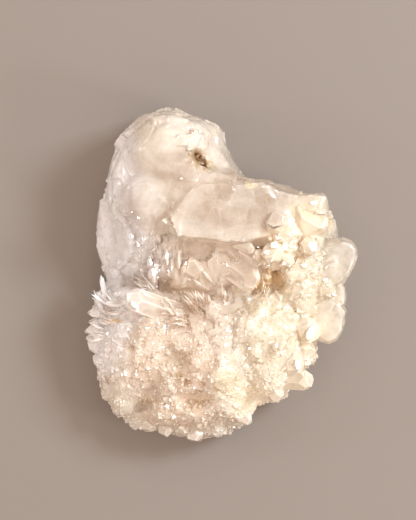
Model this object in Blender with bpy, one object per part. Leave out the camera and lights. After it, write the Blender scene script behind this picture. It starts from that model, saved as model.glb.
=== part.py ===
"""Clear quartz cluster: one grown-together solid, cut flat where it was broken from its bed.

Axes: +Z up, the flat underside on Z = 0, +Y along the specimen's length towards its massive milky head.
The origin is the middle of the underside's box. All named sizes are millimetres, turned to metres by MM.
"""

import math
import random

import bmesh
import bpy
from mathutils import Matrix, Vector
from mathutils.bvhtree import BVHTree

MM = 0.001
NAME = "quartz_cluster"

# ---------------------------------------------------------------- driving dimensions, mm
LENGTH = 100.5  # along Y, head to foot
WIDTH = 82.7  # along X, rim crystals to tabs
HEIGHT = 38.0  # underside to the crest of the head
UNDERCUT = (0.74, 0.92)  # the underside's outline as a share of the waist's
BURIED = 3.0  # how far a mass reaches below the plane that cuts it flat
CHIPS = 14  # flat fractures struck off each mass
CHIP_DEPTH = (0.5, 2.4)  # how deep a fracture cuts
RHOMB_SLOPE = math.radians(51.8)  # quartz's tip faces against its base
SMALL_CRYSTALS = 150  # the druse's larger points
SEED = 7

# ---------------------------------------------------------------- massive quartz
# Each mass is the hull of its waist (x, y, z), its crown (x, y, z) and the waist shrunk onto the underside.
MASSES = {
    "head": dict(
        waist=(
            (-34, 33, 13), (-32, 37, 14), (-30, 40.5, 14), (-28, 43.3, 15), (-24.5, 46.3, 15),
            (-22, 48.3, 14), (-18.5, 48.7, 15), (-15, 50.3, 14), (-12.5, 49.3, 15), (-10, 47.8, 15),
            (-7, 48.1, 15), (-3.6, 46.6, 14), (0, 42.8, 13), (2.6, 38, 12), (5, 33, 12), (6.2, 30, 13),
            (2, 24, 20), (-18, 20, 20), (-33, 26, 14),
        ),
        crown=(
            (-27, 41, 27), (-21, 45.5, 30), (-14, 46, 31), (-6, 44.5, 29), (-2, 40, 27), (1, 33, 26),
            (-8, 31, 33), (-13, 36, 37), (-20, 40, 37.2), (-25, 34, 33), (-22, 30, 36), (-15, 30, 35),
        ),
    ),
    "left_wall": dict(
        waist=(
            (-33.5, 29, 12), (-35, 25, 11), (-36, 20, 11), (-36, 16.5, 11), (-37.6, 12, 10), (-37.3, 8, 9),
            (-36.8, 5, 9), (-35.3, 1, 10), (-33.5, -4, 11), (-22, -5, 12), (-12, 0, 14), (-10, 14, 16),
            (-14, 28, 20),
        ),
        crown=(
            (-30.5, 26, 25), (-27, 28, 31), (-22, 24, 30), (-20, 16, 29), (-24, 10, 27), (-30, 12, 20),
            (-31, 4, 18), (-24, 1, 19), (-17, 4, 20),
        ),
    ),
    "plateau": dict(
        waist=(
            (-9, 26.5, 24), (-13.5, 23, 24), (-15.6, 18.5, 24), (-14.6, 14.8, 24), (-12.5, 10.6, 24),
            (-8, 9.4, 23), (2, 8.6, 22), (10, 9.5, 22), (20, 14, 22), (24, 22, 22), (11, 27.2, 22),
            (0, 27.4, 24),
        ),
        crown=(
            (-9.5, 25.8, 35), (-13.1, 22.2, 35.3), (-14.8, 18.5, 35.5), (-13.8, 15.2, 35.5),
            (-12, 11.4, 35.5), (-8.4, 10.6, 35.5), (0, 10.4, 35), (6, 11.2, 34.2), (11, 13.5, 33.2),
            (17, 18, 31.8), (19, 23.2, 30.6), (10, 25.8, 32.3), (0, 26.5, 34),
        ),
    ),
    "ridge": dict(
        waist=(
            (6, 29.3, 18), (9.5, 28.2, 20), (13, 27.8, 20), (17, 27.3, 20), (20.5, 26, 19), (25.3, 24.6, 19),
            (31, 23.3, 17), (31.8, 20, 15), (33, 17, 13), (34.7, 14.5, 12), (35.5, 12, 11), (34, 4, 11),
            (20, 0, 14), (8, 8, 18), (4, 20, 20),
        ),
        crown=(
            (8, 25, 31), (14, 23.5, 31.5), (20, 22.5, 30), (27, 21, 28), (29.5, 17, 27), (28, 10, 29),
            (22, 6, 30), (14, 8, 30), (10, 16, 33), (18, 16, 32.5),
        ),
    ),
    "right_side": dict(
        waist=(
            (35, 9, 11), (36.8, 4, 10), (37, -3, 10), (36.5, -9, 10), (35, -15, 10), (30, -19, 10),
            (24, -16, 12), (14, -8, 15), (14, 2, 18), (24, 10, 16),
        ),
        crown=(
            (31, 6, 25), (32.5, 0, 22), (32, -7, 20), (30, -13, 20), (25, -12, 24), (21, -5, 27),
            (20, 2, 29), (26, 4, 28),
        ),
    ),
    "lower_left": dict(
        waist=(
            (-34, -3, 10), (-37, -6, 9), (-38.3, -10, 9), (-39.3, -13.5, 8), (-39.6, -18, 8), (-38.2, -23, 8),
            (-37.2, -27, 8), (-37, -30, 8), (-35.6, -35, 8), (-34, -39, 8), (-30, -42.8, 7),
            (-26, -43.6, 7), (-14, -36, 10), (-8, -20, 14), (-12, -4, 14),
        ),
        crown=(
            (-33, -9, 20), (-33.5, -17, 21), (-32.5, -26, 20.5), (-30, -34, 18.5), (-24, -38, 18),
            (-18, -31, 24), (-16, -18, 27), (-20, -9, 26), (-26, -6, 24), (-24, -24, 27),
        ),
    ),
    "lower_middle": dict(
        waist=(
            (-27, -42, 7), (-23.5, -46, 7), (-20, -48.2, 7), (-14, -48.6, 7), (-7, -50.2, 8), (-1, -48.9, 8),
            (5, -46.9, 8), (9, -45, 8), (11, -41, 9), (14, -28, 12), (6, -6, 16), (-14, -10, 16),
            (-26, -30, 10),
        ),
        crown=(
            (-20, -43, 18), (-12, -44.5, 19), (-3, -44, 20), (5, -40, 22), (9, -32, 25), (8, -20, 29),
            (2, -12.5, 28.6), (0, -7.5, 23.5), (-8, -11.5, 26.5), (-15, -20, 26), (-8, -26, 30),
            (0, -28, 31.5), (-18, -34, 22),
        ),
    ),
    "lower_right": dict(
        waist=(
            (10.5, -40.5, 9), (15, -38.3, 9), (19.5, -37.2, 9), (22.5, -35, 10), (25, -29, 10),
            (26.5, -25, 11), (28.3, -20.5, 11), (28, -16, 12), (20, -6, 15), (4, -6, 16), (2, -24, 14),
            (6, -38, 9),
        ),
        crown=(
            (14, -34, 22), (19, -31, 22), (23, -25, 23), (24.5, -19, 24), (20, -12, 26.5), (12, -9, 28),
            (8, -16, 30), (9, -25.5, 29), (16, -20, 28),
        ),
    ),
    "north_bed": dict(
        waist=(
            (-33, 25, 11), (-31, 33, 12), (-25, 38, 12), (-15, 35.5, 13), (-5, 32, 14), (7, 28.2, 17),
            (18, 25, 16), (29, 21, 14), (33, 14, 12), (33, 6, 10), (10, 6, 10), (-12, 12, 10), (-34, 8, 9),
        ),
        crown=(
            (-27, 28, 26), (-22, 34, 28), (-12, 33, 29), (-3, 30.5, 30), (5, 27.5, 29.5), (14, 22, 28),
            (24, 17, 25), (20, 10, 22), (-10, 20, 26), (-24, 18, 24),
        ),
    ),
    "south_bed": dict(
        waist=(
            (-35, -2, 9), (-37.5, -14, 9), (-36.5, -27, 8), (-32.5, -38, 8), (-22, -46, 7), (-6, -48, 7),
            (8, -42.5, 8), (20, -34, 9), (26, -22, 10), (34, -16, 9), (35.5, -6, 10), (33, 8, 10),
            (14, 8, 12), (-10, 6, 10),
        ),
        crown=(
            (-30, -10, 18), (-30, -28, 17.5), (-25, -14, 22.5), (-21, -30, 22), (-12, -12.5, 25),
            (-8, -30, 27), (3, -13, 27), (6, -29, 27), (16, -14, 26.5), (17, -26, 24), (13, -33, 20),
            (-20, -38, 16.5), (-4, -40, 19), (24, -16, 22), (28, 2, 18), (12, 3, 17), (-16, -2, 16),
        ),
    ),
    "valley_floor": dict(
        waist=(
            (-22, -4, 10), (-22, 12, 10), (-10, 14, 10), (14, 14, 10), (16, 0, 10), (8, -8, 10),
            (-12, -8, 10),
        ),
        crown=(
            (-18, 0, 19), (-16, 8, 20), (-6, 9, 18), (6, 8, 18), (10, 2, 20), (4, -4, 20), (-8, -4, 20),
        ),
    ),
}

# Rounded knobs of massive quartz: centre (x, y, z) and radii (x, y, z).
KNOBS = {
    "left_knob": ((-21.4, 22.2, 26), (8.6, 8.2, 9.6)),
    "knob_shoulder": ((-25.5, 17.5, 23), (6.0, 7.0, 7.0)),
    "head_shoulder": ((-9.5, 29.5, 29), (6.0, 4.0, 5.2)),
}

# Clear plates that stand out of the right edge: outline (x, y), height of the outline's edge, half thickness.
TABS = {
    "upper_tab": (
        (
            (30, 8.5), (33, 10.4), (36.2, 10.9), (39.2, 10.3), (40.8, 8.0), (41.4, 5.3), (40.6, 2.6),
            (38.8, -0.4), (36.6, -3.4), (29, -4),
        ),
        19.0, 3.2,
    ),
    "lower_tab": (
        (
            (28, 1), (34.6, -1.4), (37.4, -3.6), (37.8, -6.6), (37.2, -9.6), (30, -12), (25, -6),
        ),
        14.5, 2.8,
    ),
    "foot_tab": (
        (
            (29, -6), (36.2, -8.6), (37.7, -11.0), (37.3, -15.4), (36.2, -18.0), (34.5, -19.9), (32.1, -21.1),
            (29.8, -20.4), (26.5, -15), (25.5, -9),
        ),
        16.0, 3.4,
    ),
}
TAB_BEVEL = (0.70, 0.90)  # a tab's top and underside as a share of its outline
TAB_UNEVEN = 1.3  # how far its corners stand above or below their plane

DRUSE_KNOBS = 32  # lumps that break up the druse's bed
DRUSE_KNOB_SIZE = (3.4, 6.4)

# Pits and hollows: centre (x, y, z), radii (x, y, z).
HOLLOWS = {
    "head_pit": ((-5.6, 33.8, 34.0), (4.9, 2.9, 6.0)),
    "stained_hollow": ((-14, -25.5, 31), (5.0, 4.0, 5.5)),
    "low_hollow": ((-8, -38.5, 26.5), (6.6, 4.0, 6.4)),
    "low_left_hollow": ((-22, -37, 22.5), (4.2, 3.2, 5)),
    "amber_pocket": ((15, -2, 31), (3.6, 3.0, 5)),
}

# ---------------------------------------------------------------- crystals that show one by one
# root and tip (x, y, z), width across the prism, thinness of the prism, turn about its own axis in degrees,
# and how blunt its end is, from 0, a full point, to 1, a prism broken across.
CRYSTALS = {
    "left_point": ((-9, -13.5, 23), (-28.3, -6.6, 28.5), 7.4, 0.80, 12, 0.35),
    "rim_point_1": ((-27, -12, 16), (-40.3, -11.2, 15), 4.0, 0.60, 20, 0.2),
    "rim_point_2": ((-27, -15, 14), (-41.2, -17.3, 13), 5.4, 0.60, 5, 0.3),
    "rim_blade_1": ((-33, -14, 10), (-37.4, 0.2, 16), 3.6, 0.45, 30, 0.3),
    "rim_blade_2": ((-30, -10, 16), (-38.4, -6.5, 17), 4.6, 0.50, 10, 0.5),
    "rim_blade_3": ((-24, -9, 19), (-36, -9.5, 21.5), 5.0, 0.55, 0, 0.3),
    "valley_blade_1": ((-7, 10, 18), (10.5, -3.2, 28), 8.0, 0.50, 4, 0.5),
    "valley_blade_2": ((-2, 12, 20), (12, 3.0, 29), 5.5, 0.45, 16, 0.4),
    "valley_blade_3": ((-3, 13, 24), (10, 7.0, 31), 3.4, 0.50, 30, 0.4),
    "valley_point_1": ((-8, -7, 14), (-8.6, 4.6, 27), 7.0, 0.75, 8, 0.2),
    "valley_point_2": ((-13, -4, 14), (-14.5, 5.0, 25), 5.0, 0.70, 40, 0.3),
    "valley_point_3": ((-20, -6, 14), (-19.5, 3.0, 26), 4.2, 0.70, 25, 0.3),
    "valley_spar": ((-9, 12, 26), (-7.2, 4.0, 29), 2.4, 0.50, 15, 0.4),
    "crest_splinter": ((-11, 15.5, 32), (-17.3, 15.9, 34), 2.6, 0.50, 0, 0.1),
    "head_point_1": ((17, 12, 26), (16.4, 17.0, 35.5), 6.6, 0.85, 10, 0.6),
    "head_point_2": ((16, 4, 24), (15.2, 7.6, 34.5), 6.4, 0.90, 28, 0.6),
    "head_point_3": ((19, 4, 24), (19.8, 4.6, 33), 4.4, 0.85, 5, 0.5),
    "head_point_4": ((11.5, 4, 24), (11.0, 6.4, 31), 3.6, 0.85, 50, 0.5),
    "corner_point": ((23, 13, 20), (27.6, 19.6, 31), 10.0, 0.85, 18, 0.8),
    "ridge_point": ((25, 8, 24), (27, 8.5, 33), 5.4, 0.80, 35, 0.5),
    "edge_point_1": ((21, -14, 17), (28.6, -18.2, 24), 7.6, 0.85, 15, 0.55),
    "edge_point_2": ((19, -19, 13), (27.4, -24.0, 19), 7.8, 0.80, 40, 0.5),
    "edge_point_3": ((17, -24, 17), (24.0, -28.0, 25), 6.8, 0.80, 10, 0.5),
    "rounded_tip": ((16, -31, 11), (27.4, -31.8, 16), 6.0, 0.85, 22, 0.65),
    "foot_point_1": ((-18, -40, 9), (-22.6, -47.2, 12), 5.0, 0.85, 12, 0.5),
    "foot_point_2": ((-15, -41, 10), (-17.0, -48.9, 13), 5.0, 0.85, 33, 0.5),
    "foot_point_3": ((-6, -42, 9), (-8.5, -50.2, 12), 5.2, 0.85, 5, 0.5),
    "foot_point_4": ((4, -39, 10), (9.4, -45.2, 15), 6.0, 0.85, 20, 0.5),
    "foot_point_5": ((13, -33, 12), (18.6, -37.4, 16), 5.2, 0.85, 45, 0.5),
    "druse_point_1": ((-2, -13, 24), (-2.4, -8.6, 32), 4.6, 0.90, 10, 0.3),
    "druse_point_2": ((17, -17, 22), (17.6, -22.4, 32), 4.2, 0.60, 30, 0.2),
}

# Where the druse grows: south of DRUSE_NORTH, or on the right side, but off the clear tabs and the valley.
DRUSE_NORTH = -5.0
DRUSE_RIGHT, DRUSE_RIGHT_NORTH = 20.0, 16.0
DRUSE_FREE = ((0, 0, 12.5), (-21, -8, 8), (38, 4, 8), (36, -10, 5), (35, -17, 5))  # plan discs: x, y, radius
DRUSE_SIZE = (1.9, 3.5)  # width of the larger druse points
DRUSE_SPACING = 2.7  # least distance between two roots
DRUSE_LEAN = 0.32  # how far a point leans off the surface's normal


def point(x, y, z):
    return Vector((x, y, z)) * MM


def luck(name):
    """A random stream of its own for each named shape, so a change to one leaves the others as they are."""
    return random.Random(f"{SEED} {name}")


def new_object(name, bm, collection):
    """A mesh object from bm, with its faces facing out."""
    bmesh.ops.recalc_face_normals(bm, faces=bm.faces)
    mesh = bpy.data.meshes.new(name)
    bm.to_mesh(mesh)
    bm.free()
    obj = bpy.data.objects.new(name, mesh)
    collection.objects.link(obj)
    return obj


def helper_collection(name):
    collection = bpy.data.collections.new(name)
    bpy.context.scene.collection.children.link(collection)
    return collection


def as_helper(obj):
    obj.hide_render = True
    obj.display_type = "WIRE"
    return obj


def hull_of(points):
    """A bmesh of the points' convex hull, with flat faces."""
    bm = bmesh.new()
    for p in points:
        bm.verts.new(p)
    hull = bmesh.ops.convex_hull(bm, input=bm.verts)
    loose = {g for g in hull["geom_interior"] + hull["geom_unused"] if isinstance(g, bmesh.types.BMVert)}
    bmesh.ops.delete(bm, geom=list(loose), context="VERTS")
    return bm


def chip(bm, rng):
    """Strikes flat fractures off a block's sides, which leaves broken faces of all sizes."""
    for _ in range(CHIPS):
        around, tilt = rng.uniform(0, math.tau), math.radians(rng.uniform(-35, 40))
        normal = Vector((math.cos(around) * math.cos(tilt), math.sin(around) * math.cos(tilt), math.sin(tilt)))
        farthest = max(bm.verts, key=lambda v: v.co.dot(normal)).co.copy()
        cut(bm, farthest - normal * rng.uniform(*CHIP_DEPTH) * MM, normal)


def mass(name, waist, crown, collection):
    """A faceted block: the hull of its waist, its crown and an undercut foot below the cutting plane."""
    rng = luck(name)
    middle = sum((point(*p) for p in waist), Vector()) / len(waist)
    points = [point(*p) for p in waist + crown]
    for x, y, _ in waist:
        foot = middle + (point(x, y, 0) - middle) * rng.uniform(*UNDERCUT)
        points.append(Vector((foot.x, foot.y, -BURIED * MM)))
    bm = hull_of(points)
    chip(bm, rng)
    return as_helper(new_object(name, bm, collection))


def tab(name, outline, height, half, collection):
    """A plate with uneven bevelled edges: the hull of its outline and of a smaller one above and below."""
    rng = luck(name)
    middle = sum((Vector(p) for p in outline), Vector((0, 0))) / len(outline)
    points = [point(x, y, height + rng.uniform(-TAB_UNEVEN, TAB_UNEVEN)) for x, y in outline]
    for side in (-half, half):
        for corner in outline:
            inner = middle + (Vector(corner) - middle) * rng.uniform(*TAB_BEVEL)
            points.append(point(inner.x, inner.y, height + side + rng.uniform(-TAB_UNEVEN, TAB_UNEVEN)))
    return as_helper(new_object(name, hull_of(points), collection))


def knob(name, centre, radii, collection, roughness=0.06, detail=2):
    """A rounded lump, or a pit's cutter: a coarse ball with its corners pushed about."""
    rng = luck(name)
    bm = bmesh.new()
    bmesh.ops.create_icosphere(bm, subdivisions=detail, radius=1.0)
    for v in bm.verts:
        v.co *= 1 + rng.uniform(-roughness, roughness)
        v.co = Vector(c * r for c, r in zip(v.co, radii)) * MM + point(*centre)
    return as_helper(new_object(name, bm, collection))


def cut(bm, spot, normal):
    """Removes what lies past a plane and closes the cut with one flat face."""
    geometry = bm.verts[:] + bm.edges[:] + bm.faces[:]
    done = bmesh.ops.bisect_plane(
        bm, geom=geometry, dist=1e-7, plane_co=spot, plane_no=normal, clear_outer=True
    )
    rim = [g for g in done["geom_cut"] if isinstance(g, bmesh.types.BMEdge)]
    if rim:
        bmesh.ops.contextual_create(bm, geom=rim)


def crystal(name, root, tip, width, thinness, turn, blunt, collection):
    """A six-sided prism whose end is cut by the six tip faces, three of them larger, as in quartz."""
    rng = luck(name)
    root, tip = point(*root), point(*tip)
    length = (tip - root).length
    apothem = width * MM / 2
    rise = apothem * math.tan(RHOMB_SLOPE)
    bm = bmesh.new()
    bmesh.ops.create_cone(
        bm, cap_ends=True, segments=6, depth=length,
        radius1=1.06 * apothem / math.cos(math.pi / 6), radius2=apothem / math.cos(math.pi / 6),
        matrix=Matrix.Translation((0, 0, length / 2)),
    )
    for side in range(6):
        angle = math.radians(30 + 60 * side)
        back = rng.uniform(0.0, 0.10) if side % 2 else rng.uniform(0.12, 0.42)
        normal = Vector((
            math.cos(angle) * math.sin(RHOMB_SLOPE), math.sin(angle) * math.sin(RHOMB_SLOPE),
            math.cos(RHOMB_SLOPE),
        ))
        cut(bm, Vector((0, 0, length + rise * back * 0.5)), normal)
    worn = Vector((rng.uniform(-0.3, 0.3), rng.uniform(-0.3, 0.3), 1)).normalized()
    cut(bm, Vector((0, 0, length - 0.9 * rise * blunt)), worn)
    top = max(v.co.z for v in bm.verts)
    for v in bm.verts:
        v.co = Vector((v.co.x, v.co.y * thinness, v.co.z * length / top))
    along = (tip - root).normalized()
    place = Matrix.Translation(root) @ along.to_track_quat("Z", "Y").to_matrix().to_4x4()
    bm.transform(place @ Matrix.Rotation(math.radians(turn), 4, "Z"))
    return as_helper(new_object(name, bm, collection))


def join(target, name, collection, operation):
    modifier = target.modifiers.new(name, "BOOLEAN")
    modifier.operation = operation
    modifier.operand_type = "COLLECTION"
    modifier.collection = collection
    modifier.solver = "EXACT"
    return modifier


def surface_of(obj):
    bpy.context.view_layer.update()
    return BVHTree.FromObject(obj, bpy.context.evaluated_depsgraph_get())


def grows_druse(x, y):
    """Whether the druse covers the solid at this place in plan, in mm."""
    covered = y < DRUSE_NORTH or (x > DRUSE_RIGHT and y < DRUSE_RIGHT_NORTH)
    return covered and all(math.hypot(x - cx, y - cy) > r for cx, cy, r in DRUSE_FREE)


def druse_roots(surface, count, spacing, low, rng):
    """Spots on the outside, well apart, where the druse grows: (spot, normal)."""
    roots = []
    for _ in range(80 * count):
        if len(roots) == count:
            break
        angle, height = rng.uniform(0, math.tau), rng.uniform(0.0, 1.0)
        aim = point(rng.uniform(-0.5, 0.5) * WIDTH, rng.uniform(-0.5, 0.5) * LENGTH, 12)
        outward = Vector((math.cos(angle) * (1 - height), math.sin(angle) * (1 - height), height))
        start = aim + outward.normalized() * LENGTH * MM
        spot, normal, _, _ = surface.ray_cast(start, (aim - start).normalized())
        if spot is None or spot.z < low * MM or not grows_druse(spot.x / MM, spot.y / MM):
            continue
        if all((spot - other).length > spacing * MM for other, _ in roots):
            roots.append((spot, normal))
    return roots


def druse_bed(surface, collection):
    """Low knobs that the druse sits on."""
    rng = luck("druse_bed")
    for index, (spot, normal) in enumerate(druse_roots(surface, DRUSE_KNOBS, 7.0, 8, rng)):
        size = rng.uniform(*DRUSE_KNOB_SIZE)
        centre = spot / MM - normal * size * 0.55
        knob(f"druse_knob_{index:02d}", centre, (size, size, size), collection, 0.10, 1)


def druse(surface, collection):
    """Small points standing out of the lower half and the right side."""
    rng = luck("druse")
    for index, (spot, normal) in enumerate(druse_roots(surface, SMALL_CRYSTALS, DRUSE_SPACING, 5, rng)):
        sway = Vector(rng.uniform(-1, 1) for _ in range(3)) * DRUSE_LEAN
        along = (normal + sway).normalized()
        width = rng.uniform(*DRUSE_SIZE)
        reach = width * rng.uniform(0.40, 0.70)
        root, tip = spot / MM - along * width * 0.6, spot / MM + along * reach
        small_crystal(f"druse_{index:03d}", root * MM, tip * MM, width * MM, rng, collection)


def small_crystal(name, root, tip, width, rng, collection):
    """A six-sided prism with a plain six-sided point, cheap enough to repeat."""
    length = (tip - root).length
    shoulder = length - 0.42 * width
    bm = bmesh.new()
    ring = bmesh.ops.create_cone(
        bm, cap_ends=True, segments=6, depth=shoulder, radius1=width / 2, radius2=width / 2,
        matrix=Matrix.Translation((0, 0, shoulder / 2)),
    )["verts"]
    top = [v for v in ring if v.co.z > shoulder / 2]
    lid = next(f for f in bm.faces if all(v in top for v in f.verts))
    apex = bmesh.ops.poke(bm, faces=[lid])["verts"][0]
    apex.co = Vector((rng.uniform(-0.08, 0.08) * width, rng.uniform(-0.08, 0.08) * width, length))
    along = (tip - root).normalized()
    place = Matrix.Translation(root) @ along.to_track_quat("Z", "Y").to_matrix().to_4x4()
    bm.transform(place @ Matrix.Rotation(rng.uniform(0, math.tau), 4, "Z"))
    return as_helper(new_object(name, bm, collection))


def ground_block(collection):
    """What the underside is cut flat by."""
    bm = bmesh.new()
    bmesh.ops.create_cube(bm, size=1.0)
    block = Matrix.Translation((0, 0, -HEIGHT * MM / 2)) @ Matrix.Diagonal(
        (2 * WIDTH * MM, 2 * LENGTH * MM, HEIGHT * MM, 1)
    )
    bm.transform(block)
    return as_helper(new_object("ground_block", bm, collection))


def quartz_material():
    material = bpy.data.materials.new("milky_quartz")
    material.use_nodes = True
    shader = material.node_tree.nodes["Principled BSDF"]
    shader.inputs["Base Color"].default_value = (0.86, 0.76, 0.66, 1)
    shader.inputs["Roughness"].default_value = 0.28
    shader.inputs["Metallic"].default_value = 0.0
    shader.inputs["IOR"].default_value = 1.544
    material.diffuse_color = (0.86, 0.76, 0.66, 1)
    return material


def build():
    for obj in list(bpy.data.objects):
        bpy.data.objects.remove(obj)
    part = helper_collection("clear_quartz_cluster")
    masses, pits = helper_collection("masses"), helper_collection("pits")
    bumps, points = helper_collection("druse_bed"), helper_collection("crystals")
    small, ground = helper_collection("druse"), helper_collection("ground")

    first, *others = MASSES.items()
    cluster = mass(NAME, collection=part, **first[1])
    cluster.hide_render, cluster.display_type = False, "TEXTURED"
    for name, shape in others:
        mass(name, collection=masses, **shape)
    for name, (centre, radii) in KNOBS.items():
        knob(name, centre, radii, masses)
    for name, (outline, height, half) in TABS.items():
        tab(name, outline, height, half, masses)
    for name, (centre, radii) in HOLLOWS.items():
        knob(name, centre, radii, pits, roughness=0.12)
    join(cluster, "join the masses", masses, "UNION")
    druse_bed(surface_of(cluster), bumps)
    join(cluster, "raise the druse's bed", bumps, "UNION")
    join(cluster, "sink the pits", pits, "DIFFERENCE")
    druse(surface_of(cluster), small)

    for name, (root, tip, width, thinness, turn, blunt) in CRYSTALS.items():
        crystal(name, root, tip, width, thinness, turn, blunt, points)
    join(cluster, "grow the crystals", points, "UNION")
    join(cluster, "grow the druse", small, "UNION")
    ground_block(ground)
    join(cluster, "cut the underside flat", ground, "DIFFERENCE")
    cluster.data.materials.append(quartz_material())


build()
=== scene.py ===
"""Looks of the clear quartz cluster: milky massive quartz, clear points and plates, and a druse of crystals.

Sizes are millimetres in the cluster's own frame, turned to metres by MM: +Z up from the flat underside,
+Y towards the massive head, +X towards the clear plates.
"""

import math
import random
from contextlib import contextmanager

import bpy
import numpy as np
from mathutils import Matrix, Vector, noise
from mathutils.bvhtree import BVHTree


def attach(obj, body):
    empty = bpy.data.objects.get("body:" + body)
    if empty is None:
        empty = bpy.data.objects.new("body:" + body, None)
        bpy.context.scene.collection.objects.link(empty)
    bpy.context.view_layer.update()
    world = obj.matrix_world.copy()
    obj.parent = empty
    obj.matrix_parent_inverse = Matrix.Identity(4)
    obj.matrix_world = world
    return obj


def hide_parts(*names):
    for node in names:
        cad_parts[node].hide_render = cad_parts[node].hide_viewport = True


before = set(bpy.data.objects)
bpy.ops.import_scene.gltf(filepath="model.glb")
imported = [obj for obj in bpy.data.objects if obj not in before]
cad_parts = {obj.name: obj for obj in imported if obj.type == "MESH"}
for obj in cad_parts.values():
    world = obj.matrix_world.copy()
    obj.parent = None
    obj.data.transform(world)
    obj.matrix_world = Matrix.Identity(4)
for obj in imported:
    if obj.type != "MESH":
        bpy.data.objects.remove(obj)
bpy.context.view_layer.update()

MM = 0.001
SEED = 7
NODE = "quartz_cluster"
BODY = "root"

# ---------------------------------------------------------------- driving dimensions, mm
UNDERCUT = (0.74, 0.92)  # the underside's outline as a share of the waist's
BURIED = 3.0  # how far a mass reaches below the plane that cuts it flat
CHIPS = 14  # broad fractures struck off each mass
CHIP_DEPTH = (0.5, 2.4)
CHIP_TILT = (-35, 40)  # degrees, down and up from level
RHOMB_SLOPE = math.radians(51.8)  # quartz's tip faces against its base
LENGTH = 100.5  # along Y, head to foot
WIDTH = 82.7  # along X, rim crystals to plates
GRAIN = 0.66  # edge of the small faces that the massive quartz is made of
WORN_EDGE = 0.14  # width of the bevel on a crystal's edges
HIGHLIGHT_LINE = 0.30  # width of the pale painted highlight line that borders each of its faces
HIGHLIGHT_LINE_SHARE = 0.08  # and its most, as a share of the crystal's thinner side
FINE_EDGED = 1.5  # crystals thinner than this keep sharp edges
ROOT_FLARE = 1.06  # how much wider a prism is at its root
TIP_OFFSETS = ((0.0, 0.10), (0.12, 0.42))  # how far a crystal's small and large tip faces stand off
DRUSE_TIP_OFFSETS = ((-0.25, -0.05), (-0.05, 0.30))
BREAK_TILT = 0.3  # most slope of a broken end
FULL_BREAK = 0.9  # how much of the tip's height the bluntest end loses

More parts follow.
